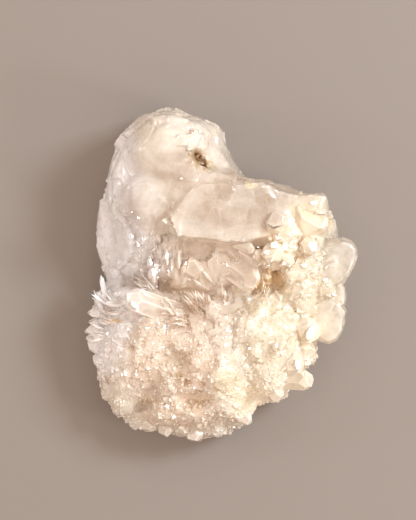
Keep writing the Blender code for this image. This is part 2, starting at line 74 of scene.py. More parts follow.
# ---------------------------------------------------------------- massive quartz
# Each mass is the hull of its waist (x, y, z), its crown (x, y, z) and the waist shrunk onto the underside.
MASSES = {
    "head": dict(
        waist=(
            (-34, 33, 13), (-32, 37, 14), (-30, 40.5, 14), (-28, 43.3, 15), (-24.5, 46.3, 15),
            (-22, 48.3, 14), (-18.5, 48.7, 15), (-15, 50.3, 14), (-12.5, 49.3, 15), (-10, 47.8, 15),
            (-7, 48.1, 15), (-3.6, 46.6, 14), (0, 42.8, 13), (2.6, 38, 12), (5, 33, 12), (6.2, 30, 13),
            (2, 24, 20), (-18, 20, 20), (-33, 26, 14),
        ),
        crown=(
            (-27.5, 41, 27.5), (-21.5, 45.5, 30.5), (-14, 47, 31), (-6, 45, 30.5), (-1.5, 40.5, 28.5),
            (1.5, 33, 27), (-7, 31.5, 33), (-9, 38, 36), (-16.5, 42.5, 36), (-17, 36, 37.2), (-24, 37, 34.6),
            (-24, 31.5, 34), (-15, 30, 34),
        ),
    ),
    "left_wall": dict(
        waist=(
            (-33.5, 29, 12), (-34.6, 25, 11), (-35.1, 20, 11), (-35.5, 16.5, 11), (-37.4, 12, 10),
            (-37.3, 8, 9), (-36.8, 5, 9), (-35.3, 1, 10), (-33.5, -4, 11), (-22, -5, 12), (-12, 0, 14),
            (-10, 14, 16), (-14, 28, 20),
        ),
        crown=(
            (-30.5, 26, 23), (-27, 28, 26), (-22, 24, 26), (-19, 16, 26), (-23, 10, 25.5), (-30, 12, 20),
            (-31, 4, 18), (-24, 1, 19), (-17, 4, 20),
        ),
        chips=0,
    ),
    "plateau": dict(
        waist=(
            (-8.6, 26.6, 24), (-12.2, 24.4, 24), (-15.6, 18.4, 24), (-13, 9.6, 24), (-6, 7.6, 23),
            (2, 7, 22), (11, 7.2, 22), (20, 9.5, 22), (28, 15, 20), (28.5, 22, 20), (11, 27.2, 22),
            (0, 27.4, 24),
        ),
        crown=(
            (-8.6, 26.2, 34.5), (-12.3, 24.3, 34.8), (-15.8, 18.4, 35.1), (-12.9, 11.3, 35),
            (-3, 10.6, 34.2), (0, 10, 33.8), (6, 9.8, 33.1), (13, 11.2, 32.2),
            (21, 13.5, 31), (28, 17, 29.9), (28, 21.5, 29.4), (12, 26.6, 31.6), (0, 27, 33.2),
        ),
    ),
    "ridge": dict(
        waist=(
            (6, 29.3, 18), (9.5, 28.2, 20), (13, 27.8, 20), (17, 27.3, 20), (20.5, 26, 19), (25.3, 24.6, 19),
            (31, 23.3, 17), (31.8, 20, 15), (33, 17, 13), (34.7, 14.5, 12), (35.5, 12, 11), (34, 4, 11),
            (20, 0, 14), (8, 8, 18), (4, 20, 20),
        ),
        crown=(
            (8, 25, 31.6), (14, 23.8, 31.2), (20, 22.5, 30.4), (27, 21, 29), (29.5, 17, 28), (28, 10, 29),
            (22, 6, 30), (14, 8, 30), (10, 16, 32.6), (18, 16, 32),
        ),
    ),
    "corner_block": dict(
        waist=((22, 24.6, 17), (30.9, 23.4, 17), (31.3, 19, 15), (33, 14.4, 13), (26, 8, 15), (19, 18, 16)),
        crown=((24, 23.4, 30), (30.4, 22.8, 29.4), (30.6, 18.5, 27.5), (27.5, 12, 29), (22, 18, 31.2)),
        chips=0,
    ),
    "left_flank": dict(
        waist=(
            (-30, 40.6, 14), (-32.6, 35.2, 14), (-34.2, 29.8, 13), (-35.5, 24.2, 13), (-36, 17, 12),
            (-28, 12, 12), (-24, 32, 14),
        ),
        crown=((-28.5, 38, 24), (-31, 31, 24), (-32.5, 25, 22), (-33, 17, 20), (-26, 29, 27)),
        chips=0,
    ),
    "right_neck": dict(
        waist=((-2, 41, 13), (1.6, 38.2, 13), (4.2, 34.4, 12), (6.4, 29.8, 13), (2, 26, 14), (-6, 32, 16)),
        crown=((-2, 38, 26), (0.8, 35.4, 26), (3.2, 31.6, 26.5), (4.6, 28.8, 29), (-3, 27.5, 31.5)),
        chips=0,
    ),
    "saddle": dict(
        waist=(
            (-17, 29, 20), (-9, 34, 20), (1, 31.5, 20), (9, 28.4, 20), (13, 26, 20), (-18, 22, 20),
            (-18, 12, 20), (-11, 8, 20),
        ),
        crown=(
            (-15.5, 28, 31.5), (-8.5, 31.5, 33), (0, 29.6, 31.8), (8, 27.4, 31), (12, 25, 31), (-12, 22, 33),
            (-16.6, 21, 31.5), (-16.4, 14, 30.5), (-12, 9.6, 29.5),
        ),
        chips=0,
    ),
    "right_side": dict(
        waist=(
            (35, 9, 11), (36.8, 4, 10), (37, -3, 10), (36.5, -9, 10), (35, -15, 10), (30, -19, 10),
            (24, -16, 12), (14, -8, 15), (14, 2, 18), (24, 10, 16),
        ),
        crown=(
            (31, 6, 25), (32.5, 0, 22), (32, -7, 20), (30, -13, 20), (25, -12, 24), (21, -5, 27),
            (20, 2, 29), (26, 4, 28),
        ),
    ),
    "lower_left": dict(
        waist=(
            (-34, -3, 10), (-37, -6, 9), (-38.3, -10, 9), (-39.3, -13.5, 8), (-39.6, -18, 8), (-38.2, -23, 8),
            (-37.2, -27, 8), (-37, -30, 8), (-35.6, -35, 8), (-34, -39, 8), (-30, -42.8, 7),
            (-26, -43.6, 7), (-14, -36, 10), (-8, -20, 14), (-12, -4, 14),
        ),
        crown=(
            (-33, -9, 20), (-33.5, -17, 21), (-32.5, -26, 20.5), (-30, -34, 18.5), (-24, -38, 18),
            (-18, -31, 24), (-16, -18, 27), (-20, -9, 26), (-26, -6, 24), (-24, -24, 27),
        ),
    ),
    "lower_middle": dict(
        waist=(
            (-27, -42, 7), (-23.5, -46, 7), (-20, -48.2, 7), (-14, -48.6, 7), (-7, -50.2, 8), (-1, -48.9, 8),
            (5, -46.9, 8), (9, -45, 8), (11, -41, 9), (14, -28, 12), (6, -6, 16), (-14, -10, 16),
            (-26, -30, 10),
        ),
        crown=(
            (-20, -43, 18), (-12, -44.5, 19), (-3, -44, 20), (5, -40, 22), (9, -32, 25), (8, -20, 29),
            (2, -12.5, 28.6), (0, -7.5, 23.5), (-8, -11.5, 26.5), (-15, -20, 26), (-8, -26, 30),
            (0, -28, 31.5), (-18, -34, 22),
        ),
    ),
    "lower_right": dict(
        waist=(
            (10.5, -40.5, 9), (15, -38.3, 9), (19.5, -37.2, 9), (22.5, -35, 10), (25, -29, 10),
            (26.5, -25, 11), (28.3, -20.5, 11), (28, -16, 12), (20, -6, 15), (4, -6, 16), (2, -24, 14),
            (6, -38, 9),
        ),
        crown=(
            (14, -34, 22), (19, -31, 22), (23, -25, 23), (24.5, -19, 24), (20, -12, 26.5), (12, -9, 28),
            (8, -16, 30), (9, -25.5, 29), (16, -20, 28),
        ),
    ),
    "north_bed": dict(
        waist=(
            (-33, 25, 11), (-31, 33, 12), (-25, 38, 12), (-15, 35.5, 13), (-5, 32, 14), (7, 28.2, 17),
            (18, 25, 16), (29, 21, 14), (33, 14, 12), (33, 6, 10), (10, 6, 10), (-12, 12, 10), (-34, 8, 9),
        ),
        crown=(
            (-27, 28, 26), (-22, 34, 28), (-12, 33, 29), (-3, 30.5, 30), (5, 27.5, 29.5), (14, 22, 28),
            (24, 17, 25), (20, 10, 22), (-10, 20, 26), (-24, 18, 24),
        ),
    ),
    "south_bed": dict(
        waist=(
            (-35, -2, 9), (-37.5, -14, 9), (-36.5, -27, 8), (-32.5, -38, 8), (-22, -46, 7), (-6, -48, 7),
            (8, -42.5, 8), (20, -34, 9), (26, -22, 10), (34, -16, 9), (35.5, -6, 10), (33, 8, 10),
            (14, 8, 12), (-10, 6, 10),
        ),
        crown=(
            (-30, -10, 18), (-30, -28, 17.5), (-25, -14, 22.5), (-21, -30, 22), (-12, -12.5, 25),
            (-8, -30, 27), (3, -13, 27), (6, -29, 27), (16, -14, 26.5), (17, -26, 24), (13, -33, 20),
            (-20, -38, 16.5), (-4, -40, 19), (24, -16, 22), (28, 2, 18), (12, 3, 17), (-16, -2, 16),
        ),
    ),
    "valley_floor": dict(
        waist=(
            (-22, -4, 10), (-22, 12, 10), (-10, 14, 10), (16, 14, 10), (17, -5, 10), (8, -8, 10),
            (-12, -8, 10),
        ),
        crown=(
            (-19, 0, 22.5), (-17, 9, 24.5), (-6, 11, 25), (7, 10, 26), (14, 10, 27), (15, 2, 27),
            (14, -4, 26.5), (4, -4.5, 23.5), (-8, -4.5, 23.5),
        ),
    ),
}

# Rounded knobs of massive quartz: centre (x, y, z) and radii (x, y, z).
KNOBS = {
    "left_knob": ((-21.6, 22.4, 21.6), (9.4, 8.8, 13.2)),
    "knob_back": ((-27, 23, 19), (6.6, 8.4, 9.4)),
    "knob_foot": ((-20.6, 17, 19.5), (7.6, 7.4, 9.6)),
    "head_shoulder": ((-9.5, 29, 29), (6, 4, 5.2)),
    "foot_lobe_1": ((-28.2, -38.8, 8), (5.4, 5.2, 9)),
    "foot_lobe_2": ((-20, -43, 7), (4.8, 4.2, 8.5)),
    "foot_lobe_3": ((-25.2, -41.8, 7), (4.4, 3.6, 7.5)),
    "head_lobe_1": ((-23.2, 41, 14), (4.8, 4.8, 12)),
    "head_lobe_2": ((-15, 44.6, 14), (4.2, 5.7, 14.5)),
    "head_lobe_3": ((-19.8, 43.8, 14), (3.6, 4.8, 13.5)),
    "head_lobe_4": ((-8.2, 43, 14), (4.8, 5.2, 13)),
    "head_lobe_5": ((-3, 41.2, 13), (4.2, 5.2, 12)),
    "head_lobe_6": ((-26.6, 36.4, 13), (4, 5, 11)),
}

# Clear plates that stand out of the right edge: outline (x, y), height of their edge, half thickness.
PLATES = {
    "upper_plate": (
        (
            (26, 6.5), (30, 9), (33.4, 10.3), (36.6, 10.9), (39.3, 10.1), (40.9, 7.8), (41.2, 5),
            (40.3, 2.2), (38.6, -0.8), (36.4, -3.6), (32, -6), (26, -4),
        ),
        19, 4.4,
    ),
    "lower_plate": (
        (
            (24, 1), (31, 0.4), (35.4, -1.6), (37.5, -3.9), (37.9, -6.6), (37.3, -9.4), (33, -12), (24, -8),
        ),
        16.5, 4.6,
    ),
    "foot_plate": (
        (
            (25, -5), (33, -6.6), (36.4, -8.2), (37.8, -10.8), (37.6, -14.2), (36.6, -17.6), (34.8, -19.8),
            (32.2, -21.1), (29.6, -20.2), (26, -16.5), (23.5, -10),
        ),
        16, 4.8,
    ),
}

# Pits and hollows: centre (x, y, z), radii (x, y, z).
HOLLOWS = {
    "stained_hollow": ((-14, -25.5, 31), (5, 4, 5.5)),
    "low_hollow": ((-8, -38.5, 26.5), (6.6, 4, 6.4)),
    "low_left_hollow": ((-22, -37, 22.5), (4.2, 3.2, 5)),
    "amber_pocket": ((14.5, -2, 31), (4.2, 3.4, 3)),
}

# Broken out of the head: a block whose bed is one flat sloping face, and a narrow pit at its lower left.
CLEFTS = {
    "broken_face": (
        (-5, 40.8, 40), (3, 38.6, 40), (7, 31.4, 40), (-2, 30.4, 40), (-8.6, 35.4, 40),
        (-5.4, 40, 34), (2.6, 37.4, 26.5), (5.6, 31.6, 25.5), (-1.8, 30.8, 29.5), (-8, 35.2, 32),
    ),
    "brown_pit": (
        (-10.2, 35, 36), (-7.4, 38.6, 36), (-5.8, 37.6, 36), (-1.2, 31, 36), (-2.6, 29.6, 36),
        (-7.6, 31, 36), (-8.2, 35, 29.5), (-7, 36.2, 29), (-2.8, 31.4, 28.5), (-5.8, 32.6, 28.5),
    ),
}

# ---------------------------------------------------------------- crystals that show one by one
# root and tip (x, y, z), width across the prism, thinness of the prism, turn about its own axis in degrees,
# and how blunt its end is, from 0, a full point, to 1, a prism broken across.
CRYSTALS = {
    "left_point": ((-10, -13.5, 19.5), (-28.3, -6.6, 28.5), 7, 0.8, 12, 0.35),
    "rim_point_1": ((-27, -12, 16), (-39.8, -11.6, 15), 2.6, 0.6, 20, 0.1),
    "rim_point_2": ((-27, -15, 14), (-40.8, -17.3, 13), 4.4, 0.45, 35, 0.1),
    "rim_point_3": ((-29, -20, 13), (-40, -21.6, 10.5), 5.6, 0.6, 15, 0.35),
    "rim_point_4": ((-28, -25, 13), (-38.6, -25.8, 10), 5.6, 0.6, 35, 0.45),
    "rim_blade_1": ((-33.5, -12, 11), (-35.9, -0.4, 16), 3, 0.4, 75, 0),
    "rim_blade_2": ((-32, -16, 14), (-37.9, -5.2, 16.5), 4.2, 0.4, 75, 0),
    "rim_blade_3": ((-24, -9, 19), (-35, -8.8, 20), 3, 0.4, 70, 0),
    "rim_blade_6": ((-28, -15, 14), (-39.8, -14.4, 14), 3.2, 0.5, 50, 0.1),
    "rim_blade_7": ((-28, -19, 13), (-40.6, -19.4, 11.5), 3.6, 0.5, 45, 0.2),
    "rim_blade_4": ((-22, -12, 20), (-34.5, -11.6, 20.5), 3, 0.35, 80, 0),
    "rim_blade_5": ((-24, -15, 18), (-36.8, -14.4, 17), 3, 0.35, 75, 0),
    "valley_blade_1": ((-7, 10, 18), (10.8, -2.8, 28), 8, 0.45, 12, 0.45),
    "valley_blade_2": ((-2, 12, 20), (12, 3, 29), 5.5, 0.45, 16, 0.4),
    "valley_blade_3": ((-3, 13, 24), (10, 7, 31), 3.4, 0.5, 30, 0.4),
    "valley_point_1": ((-8, -7, 14), (-8.6, 4.6, 27), 7, 0.75, 8, 0.2),
    "valley_point_2": ((-13, -4, 14), (-14.5, 5, 25), 4, 0.5, 70, 0.1),
    "valley_point_3": ((-20, -6, 14), (-19.5, 3, 26), 3.6, 0.5, 65, 0.1),
    "valley_blade_4": ((-13, 9, 19), (-2.5, -2.5, 25), 2.8, 0.35, 75, 0),
    "valley_blade_5": ((3, 10, 25), (14.5, 2.2, 29), 3, 0.45, 60, 0.3),
    "valley_blade_6": ((-17, 3, 18), (-5.5, -3.6, 25), 2.4, 0.4, 70, 0),
    "valley_blade_7": ((-22, 7, 17), (-19.5, -2.5, 27), 3.6, 0.35, 80, 0),
    "valley_blade_8": ((-13, 12, 20), (-12.4, 1.5, 26), 2.4, 0.4, 75, 0),
    "valley_blade_13": ((-16.6, 11, 22), (-15.8, 2.5, 25.5), 2.4, 0.4, 80, 0),
    "crest_splinter": ((-11, 15, 31), (-17.3, 15.9, 33), 2, 0.5, 30, 0.1),
    "head_point_1": ((17, 12, 26), (16.4, 17, 35.5), 6.6, 0.85, 10, 0.6),
    "head_point_2": ((16, 4, 24), (15.2, 7.6, 34.5), 6.4, 0.9, 28, 0.6),
    "head_point_3": ((19, 4, 24), (19.8, 4.6, 33), 4.4, 0.85, 5, 0.5),
    "head_point_4": ((11.5, 4, 24), (11, 6.4, 31), 3.6, 0.85, 50, 0.5),
    "corner_point": ((23, 12, 20), (27.4, 18.6, 30.2), 11, 0.85, 18, 0.9),
    "ridge_point": ((25, 8, 24), (27, 8.5, 33), 5.4, 0.8, 35, 0.5),
    "edge_point_1": ((21, -14, 17), (28.6, -18.2, 24), 7.6, 0.85, 15, 0.55),
    "edge_point_2": ((19, -19, 13), (27.4, -24, 19), 7.8, 0.8, 40, 0.5),
    "edge_point_3": ((17, -24, 17), (24, -28, 25), 6.8, 0.8, 10, 0.5),
    "rounded_tip": ((16, -31, 11), (27.4, -31.8, 16), 6, 0.85, 22, 0.65),
    "foot_point_1": ((-18, -40, 9), (-22.6, -47.2, 12), 5, 0.85, 12, 0.5),
    "foot_point_2": ((-15, -41, 10), (-17, -48.9, 13), 5, 0.85, 33, 0.5),
    "foot_point_3": ((-6, -42, 9), (-8.5, -50.2, 12), 5.2, 0.85, 5, 0.5),
    "foot_point_4": ((4, -39, 10), (8.8, -44.8, 14), 4.4, 0.85, 20, 0.4),
    "foot_point_5": ((13, -33, 12), (18.6, -37.4, 16), 5.2, 0.85, 45, 0.5),
    "druse_point_1": ((-2, -13, 24), (-2.4, -8.6, 32), 4.6, 0.9, 10, 0.3),
    "druse_point_2": ((17, -17, 22), (17.6, -22.4, 32), 4.2, 0.6, 30, 0.2),
}

PLATE_BEVEL = (0.74, 0.92)  # a plate's top and underside as a share of its outline
PLATE_UNEVEN = 1.0  # how far its corners stand above or below their plane
PLATE_EDGE, PLATE_GRAIN = 0.9, 0.45  # width of its rounded edge, and edge of the small faces it is made of
PLATE_WAVE, PLATE_WAVE_SIZE = 0.35, 3.5  # height and length of the waves on it

# Places where the massive quartz is smooth, in plan: x, y, reach.
SMOOTH_PLACES = (
    (-21.4, 22.2, 10), (-5, 18, 13), (6, 18, 12), (16, 21, 9), (-19, 36, 9), (2, 35, 6),
)
CALM_GAIN = 2.2  # how quickly it turns smooth from the rim of such a place inwards
CALM_SHARE = 0.82  # how much of the breaks it loses there
# Flat breaks on the skin, and under the druse: cell size, slope across a cell, step between cells.
BREAKS = ((10.0, 0.13, 0.34), (4.5, 0.10, 0.12))
DRUSE_FACES = ((6.0, 0.18, 0.45), (2.8, 0.20, 0.22))
SWIRL_SIZE = 4.0  # size of the bends in the borders between the breaks
SWELL, SWELL_SIZE = 0.5, 9.0  # height and length of the slow swelling of the skin
RAGGED, RAGGED_SIZE = 0.25, 1.6  # how ragged a pit's rim is, and the size of its notches
CREASE = math.radians(26)  # steeper edges stay sharp
PLATE_CREASE = math.radians(40)

RIBS = (-19.5, 5, 12.0, 2.2, 0.9)  # the glassy left wall's upright ribs: centre x, y, reach, width, height
# Crystals as milky as the body they grow from.
MILKY_CRYSTALS = ("corner_point", "rim_point_3", "rim_point_4")
CRISP = ("plateau", "corner_block")  # masses whose edges stay sharp; the others are worn round
WEAR = 20  # rounds of smoothing
INSIDE_DEPTH = 1.4  # how deep the milky inside lies under the clouded skin
SEAM = 0.05  # gap between a clear crystal and the milky quartz it stands on
DRUSE_LEAN = 0.25  # how far crystals lean away from upright
DRIFT_SIZE = 6.0  # size of the groups that lean together
DRUSE_USUAL = 0.25  # the commonest size, from 0, the smallest, to 1, the largest
DRUSE_KNOBS = 32  # lumps under the druse
DRUSE_KNOB_SIZE = (3.4, 6.4)
DRUSE_KNOB_GAP = 7.0
DRUSE_KNOB_SUNK = 0.55  # share of a lump's size that its middle lies deep
DRUSE_FOOT = 8  # no lump lies lower than this

# Druse crystals, each (spacing, smallest, largest, count): fine over most of it, coarse towards the right.
FINE_DRUSE = (0.86, 0.9, 2.0, 5200)
COARSE_DRUSE = (1.6, 1.8, 3.8, 800)
CLEAR_DRUSE = 0.25  # share of the druse crystals that are clear
COARSE_EAST, COARSE_SOUTH = 13.0, -33.0
OVERHANG, LOWEST_DRUSE = -0.35, 2  # the druse stays off walls that lean out more, and above this height
# A druse crystal's shape, one unit across. Its shapes differ in how far they stand out of their bed.
DRUSE_SHAPES, LEAST_STOUT, STOUT_STEP = 8, 0.10, 0.06
DRUSE_RADIUS, DRUSE_DEPTH = 0.56, 1.8  # of its prism
DRUSE_MIDDLE, DRUSE_REACH = -0.3, 0.95  # where its middle lies, and how far it reaches from there

# Flat faces that mirror the window: place (x, y), width, thinness, turn in degrees.
GLINTS = (
    (26.5, -17.6, 4.6, 0.55, 60), (22.6, -27, 3.2, 0.5, 100), (-33.4, -17.8, 1.9, 0.7, 20),
    (-32, -28.6, 1.9, 0.7, 70), (-16, -39.4, 1.5, 0.7, 10), (-14, -42.6, 1.2, 0.7, 40),
    (-14.2, -46.2, 1.2, 0.7, 0), (16.4, -21.4, 1.5, 0.35, 120), (18, -23.6, 1.5, 0.35, 120),
    (-20, 0.4, 2.4, 0.5, 95), (-19.6, 3.6, 2, 0.5, 80), (-22.6, 10.8, 1.1, 0.4, 90),
    (-26.4, 11.2, 1.1, 0.5, 90), (-25.6, 14, 1.1, 0.5, 80), (-19.9, 9, 1.4, 0.35, 95),
    (-20.3, 13, 1.4, 0.35, 85), (-13, 8, 1, 0.4, 90), (-10.4, 3.2, 1.2, 0.5, 60),
    (15.6, 8.6, 2.6, 0.7, 30), (13.6, 6.4, 1.8, 0.7, 0), (27.4, 21, 2.2, 0.5, 10),
    (18.8, 3.4, 1.8, 0.6, 50), (24.6, 2.6, 1.6, 0.6, 20), (-11.6, 28.2, 1.3, 0.5, 20),
    (-30.4, 20.6, 1.1, 0.4, 90), (-9.8, 43, 1, 0.5, 0), (-6.2, 42, 1, 0.5, 40),
    (-25.6, -9.2, 2.8, 0.45, -41), (12, -12.4, 1.2, 0.6, 0), (3, -17, 1.1, 0.6, 0),
    (-22, -16, 1, 0.6, 0), (8.6, -22, 1.2, 0.5, 30), (33.6, -6.2, 1.2, 0.4, 0),
)

GLINT_LIFT, LEAST_LIFT = 0.25, 0.35  # how far such a face stands out: share of its width, and at least
GLINT_DEPTH = 1.5  # depth of its root, as a share of its width
ABOVE = 60  # a height over the whole cluster

# Small ones scattered around a place: middle (x, y), reach, number, widths, turn in degrees.
SPARKLES = (
    ((-20, 8), 5, 34, (1, 2.6), 95),
    ((-19.5, 1), 5, 16, (0.6, 1.8), 80),
    ((-28, 15), 4.5, 12, (0.5, 1.4), 100),
    ((-16, -20), 16, 20, (0.3, 0.7), 0),
    ((10, -20), 17, 24, (0.3, 0.9), 110),
    ((16, 6), 6, 10, (0.4, 1.2), 40),
)

SPARKLE_THIN = (0.25, 0.5)
SPARKLE_TURN = 25  # how far their turns vary, in degrees

# Fans of fine needles: root (x, y, z), middle tip (x, y, z), spread, number, width.
FANS = (
    ((-6, -11, 24), (-9, -6.6, 25.5), 2.6, 16, 0.45),
    ((-3, -12.5, 25.8), (-5, -8, 27), 3, 18, 0.45),
    ((-9, -15, 24.6), (-12, -12.4, 26.2), 2.6, 12, 0.45),
    ((1, -9, 23.2), (2.6, -6, 24.6), 2.2, 9, 0.45),
    ((-13, -13.5, 24.5), (-15.5, -9.8, 26.5), 2.6, 14, 0.55),
    ((-28, -15, 19), (-34, -12.5, 18.5), 2.4, 14, 0.7),
    ((-30, -12, 16), (-35, -8, 16.5), 2.4, 12, 0.7),
    ((-30, -19, 17), (-36, -17.5, 16.5), 2.4, 12, 0.8),
    ((-20, -5, 19), (-24.5, -2.2, 21.5), 2.4, 12, 0.6),
    ((13, -6, 23.5), (13.5, -2.5, 25.5), 2.2, 9, 0.5),
    ((-7, 34.6, 28), (-6.2, 34.8, 32.2), 2.2, 7, 0.7),
    ((-4.2, 32.2, 27.5), (-3.9, 32.3, 31.2), 1.8, 5, 0.7),
)

# Where the druse grows: south of DRUSE_NORTH, or on the right side, but off the plates and the valley.
DRUSE_NORTH = -5.0
DRUSE_RIGHT, DRUSE_RIGHT_NORTH = 14.0, 11.0
DRUSE_FREE = ((0, 0, 12.0), (-21, -8, 7), (38, 4, 8), (36, -10, 5), (35, -17, 5))  # plan discs: x, y, radius

# ---------------------------------------------------------------- colours
CREAM = (0.75, 0.62, 0.49, 1)
MILK = (0.97, 0.90, 0.81, 1)
# pale rose-grey, lightened as painted light on the dimly lit left side
PAINTED_LIGHT_ROSE_GREY = (0.97, 0.92, 0.945, 1)
PEACH = (0.45, 0.30, 0.20, 1)
SHELL = (0.86, 0.65, 0.48, 1)
BUTTER = (0.94, 0.765, 0.535, 1)
SAND = (0.80, 0.58, 0.40, 1)
UMBER = (0.44, 0.25, 0.09, 1)
TAUPE = (0.56, 0.39, 0.24, 1)
RUST = (0.46, 0.19, 0.055, 1)
OCHRE = (0.90, 0.54, 0.17, 1)
OLIVE = (0.42, 0.30, 0.15, 1)
WARM_CREAM = (0.96, 0.77, 0.48, 1)
# painted shade laid into creases, with the warm colour of thicker quartz
CREASE_SHADE_AMBER = (0.50, 0.325, 0.19, 1)
HONEY = (0.34, 0.205, 0.11, 1)
CLEAR = (1.0, 0.96, 0.905, 1)

PATCH_DEPTH = 40  # a patch's z radius, unless its own is given

# Wide tints: colour, centre (x, y, z), radii (x, y), share. The rose-grey ones and one warm cream one paint
# light onto dimly lit sides.
TINTS = (
    (SHELL, (-14, -20, 22), (26, 26), 1.0),
    (BUTTER, (22, -14, 20), (24, 34), 1.0),
    (SAND, (-10, -42, 22), (22, 9), 0.8),
    (SAND, (-12, -27, 26), (12, 9, 30), 0.7),
    # the rose-grey tints below paint light onto the dimly lit left side and left wall
    (PAINTED_LIGHT_ROSE_GREY, (-37, 16, 15), (25, 50), 1.0),
    (PAINTED_LIGHT_ROSE_GREY, (-38, -16, 14), (16, 24), 0.8),
    (PEACH, (-21, 22, 30), (9, 9), 0.6),
    (PEACH, (6, 21, 30), (32, 16), 1.0),
    (SHELL, (-4, 2, 24), (26, 12), 0.9),
    (SAND, (-1, 0, 24), (24, 10), 0.6),
    (TAUPE, (4, 1, 26), (10, 6), 0.35),
    (HONEY, (13, 26, 28), (20, 11), 0.9),
    (HONEY, (6.5, 19.5, 30), (12, 8), 0.4),
    (HONEY, (26.5, 19, 30), (10, 8), 0.5),
    (PEACH, (-9, 31, 30), (14, 7), 0.9),
    (PAINTED_LIGHT_ROSE_GREY, (-31, 35, 18), (8, 14), 1.0),
    (WARM_CREAM, (3, -32, 27), (8, 8), 0.8),
    # painted light: lightens the shaded lower right slope
    (WARM_CREAM, (9, -37, 20), (9, 8), 0.7),
    (PAINTED_LIGHT_ROSE_GREY, (-21, 5, 22), (10, 13), 0.5),
    (WARM_CREAM, (27, 16, 26), (9, 11), 0.7),
    (WARM_CREAM, (17, 9, 30), (9, 10), 0.5),
)

# Iron stains: colour, centre (x, y, z), radii (x, y), share.
STAINS = (
    (TAUPE, (-5.6, 33.6, 28), (5.4, 4.6), 0.8),
    (UMBER, (-7.0, 34.8, 28), (3.2, 3.0), 1.0),
    (UMBER, (-4.4, 32.6, 28), (3.2, 2.4), 1.0),
    (OLIVE, (-2.6, 31.2, 28), (2.2, 1.6), 0.9),
    (TAUPE, (-13.5, -25.5, 28), (6.5, 4.5), 0.6),
    (SAND, (-8, -38.5, 24), (7, 4.5), 0.8),
    (OLIVE, (-10, -40, 22), (3.4, 2.2), 0.6),
    (OLIVE, (-5, -39, 22), (2.6, 2.0), 0.5),
    (SAND, (-22, -37.5, 20), (4.5, 3), 0.8),
    (OLIVE, (-21.5, -38.5, 20), (2.0, 1.6), 0.5),
    (UMBER, (-12.6, -30.0, 28), (2.6, 1.3), 1.0),
    (RUST, (-9.8, -32.0, 28), (2.2, 1.5), 1.0),
    (RUST, (-5.2, -32.6, 28), (1.2, 2.2), 1.0),
    (UMBER, (-8.5, -38.0, 28), (3.4, 1.2), 1.0),
    (RUST, (-34, -32, 15), (2.0, 1.8), 0.8),
    (OCHRE, (12.0, -3.6, 26), (2.2, 1.8), 1.0),
    (OCHRE, (15.5, -1.5, 26), (5, 4), 0.7),
    (RUST, (-6.0, -8.2, 26), (4.2, 2.0), 0.55),
    (RUST, (1.5, -7.0, 26), (2.4, 1.1), 0.7),
    (RUST, (-12.0, -12.6, 26), (4.0, 1.4), 0.3),
    (OCHRE, (-31.5, -14.2, 18), (3.6, 0.7), 0.9),
    (RUST, (-33, -11.3, 18), (2.6, 0.6), 0.8),
    (RUST, (-27.8, 16.6, 24), (0.9, 0.9), 0.9),
    (RUST, (21, 10.2, 30), (0.8, 0.8), 0.9),
    (RUST, (22.5, 8, 30), (0.9, 1.4), 0.7),
    (RUST, (22, -11, 27), (0.7, 0.7), 0.9),
    (RUST, (15.7, -12, 28), (0.7, 0.7), 0.8),
    (OCHRE, (32.5, 15.7, 24), (1.6, 2.6), 0.7),
    (WARM_CREAM, (9, 26.5, 30), (2.2, 1.8), 0.8),
)

# Where the milk shines less: centre (x, y, z), radii (x, y), share of the shine taken away.
DULL_PLACES = (
    ((4, 21, 30), (32, 14), 0.7),
    ((-20, 23, 30), (12, 10), 0.6),
    ((-8, 30, 30), (12, 8), 0.5),
)

# Where the milk lies right under the skin: centre (x, y, z), radii (x, y), clear share taken away.
DENSE_PLACES = (
    ((-5.6, 33.6, 28), (6, 5), 0.3),
    ((-13, 38, 30), (22, 20), 0.22),
    ((4, 21, 30), (36, 17), 0.25),
    ((-31, 34, 15), (9, 16), 0.25),
    ((-19, 15, 24), (10, 8), 0.2),
    ((19, 11, 30), (14, 14), 0.25),
    ((2, -30, 25), (12, 12), 0.15),
    ((-9, -31.5, 28), (7, 4), 0.3),
    ((-13.5, -26, 28), (8, 5), 0.3),
    ((-9, -38.5, 24), (9, 5), 0.3),
    ((-30, -29, 14), (14, 15), 0.3),
    ((14, -38, 14), (18, 10), 0.35),
    ((-38, 14, 14), (8, 24), 0.25),
    ((30, -22, 16), (10, 14), 0.2),
)

# ---------------------------------------------------------------- finishes
QUARTZ_IOR = 1.544
MILK_REACH = 3.4  # how far light spreads in the milky inside
MILK_TINT = (1.0, 0.94, 0.88)  # how far red, green and blue light spread, as shares of it
SHINE = 0.8  # coat of the milk where nothing dulls it
DRUSE_FADE = (-3.0, -8.0)  # from y to y, where the sugary druse starts
# Healed breaks: size of the blocks, strength of the lines between them, and of the blocks' own milk.
HEALED = ((7.0, 0.10, 0.12), (2.6, 0.12, 0.12))
GLASSY_WALL = ((-14, 6, 22), (20, 16))  # where the skin is streaked: centre and radii
# Clouded quartz: clear share and how far it varies, size of the clouds, strength of the pale painted
# highlight on edges, and its relief's strength and depth.
CLOUDED = {
    "clouded skin": ((0.42, 0.3), 4.0, 0.35, (0.4, 0.3)),
    "clear druse": ((0.45, 0.3), 2.0, 0.35, (0.2, 0.12)),
    "clear quartz": ((0.36, 0.3), 3.0, 0.5, (0.15, 0.12)),
    "clear plates": ((0.46, 0.4), 3.0, 0.4, (0.2, 0.12)),
}

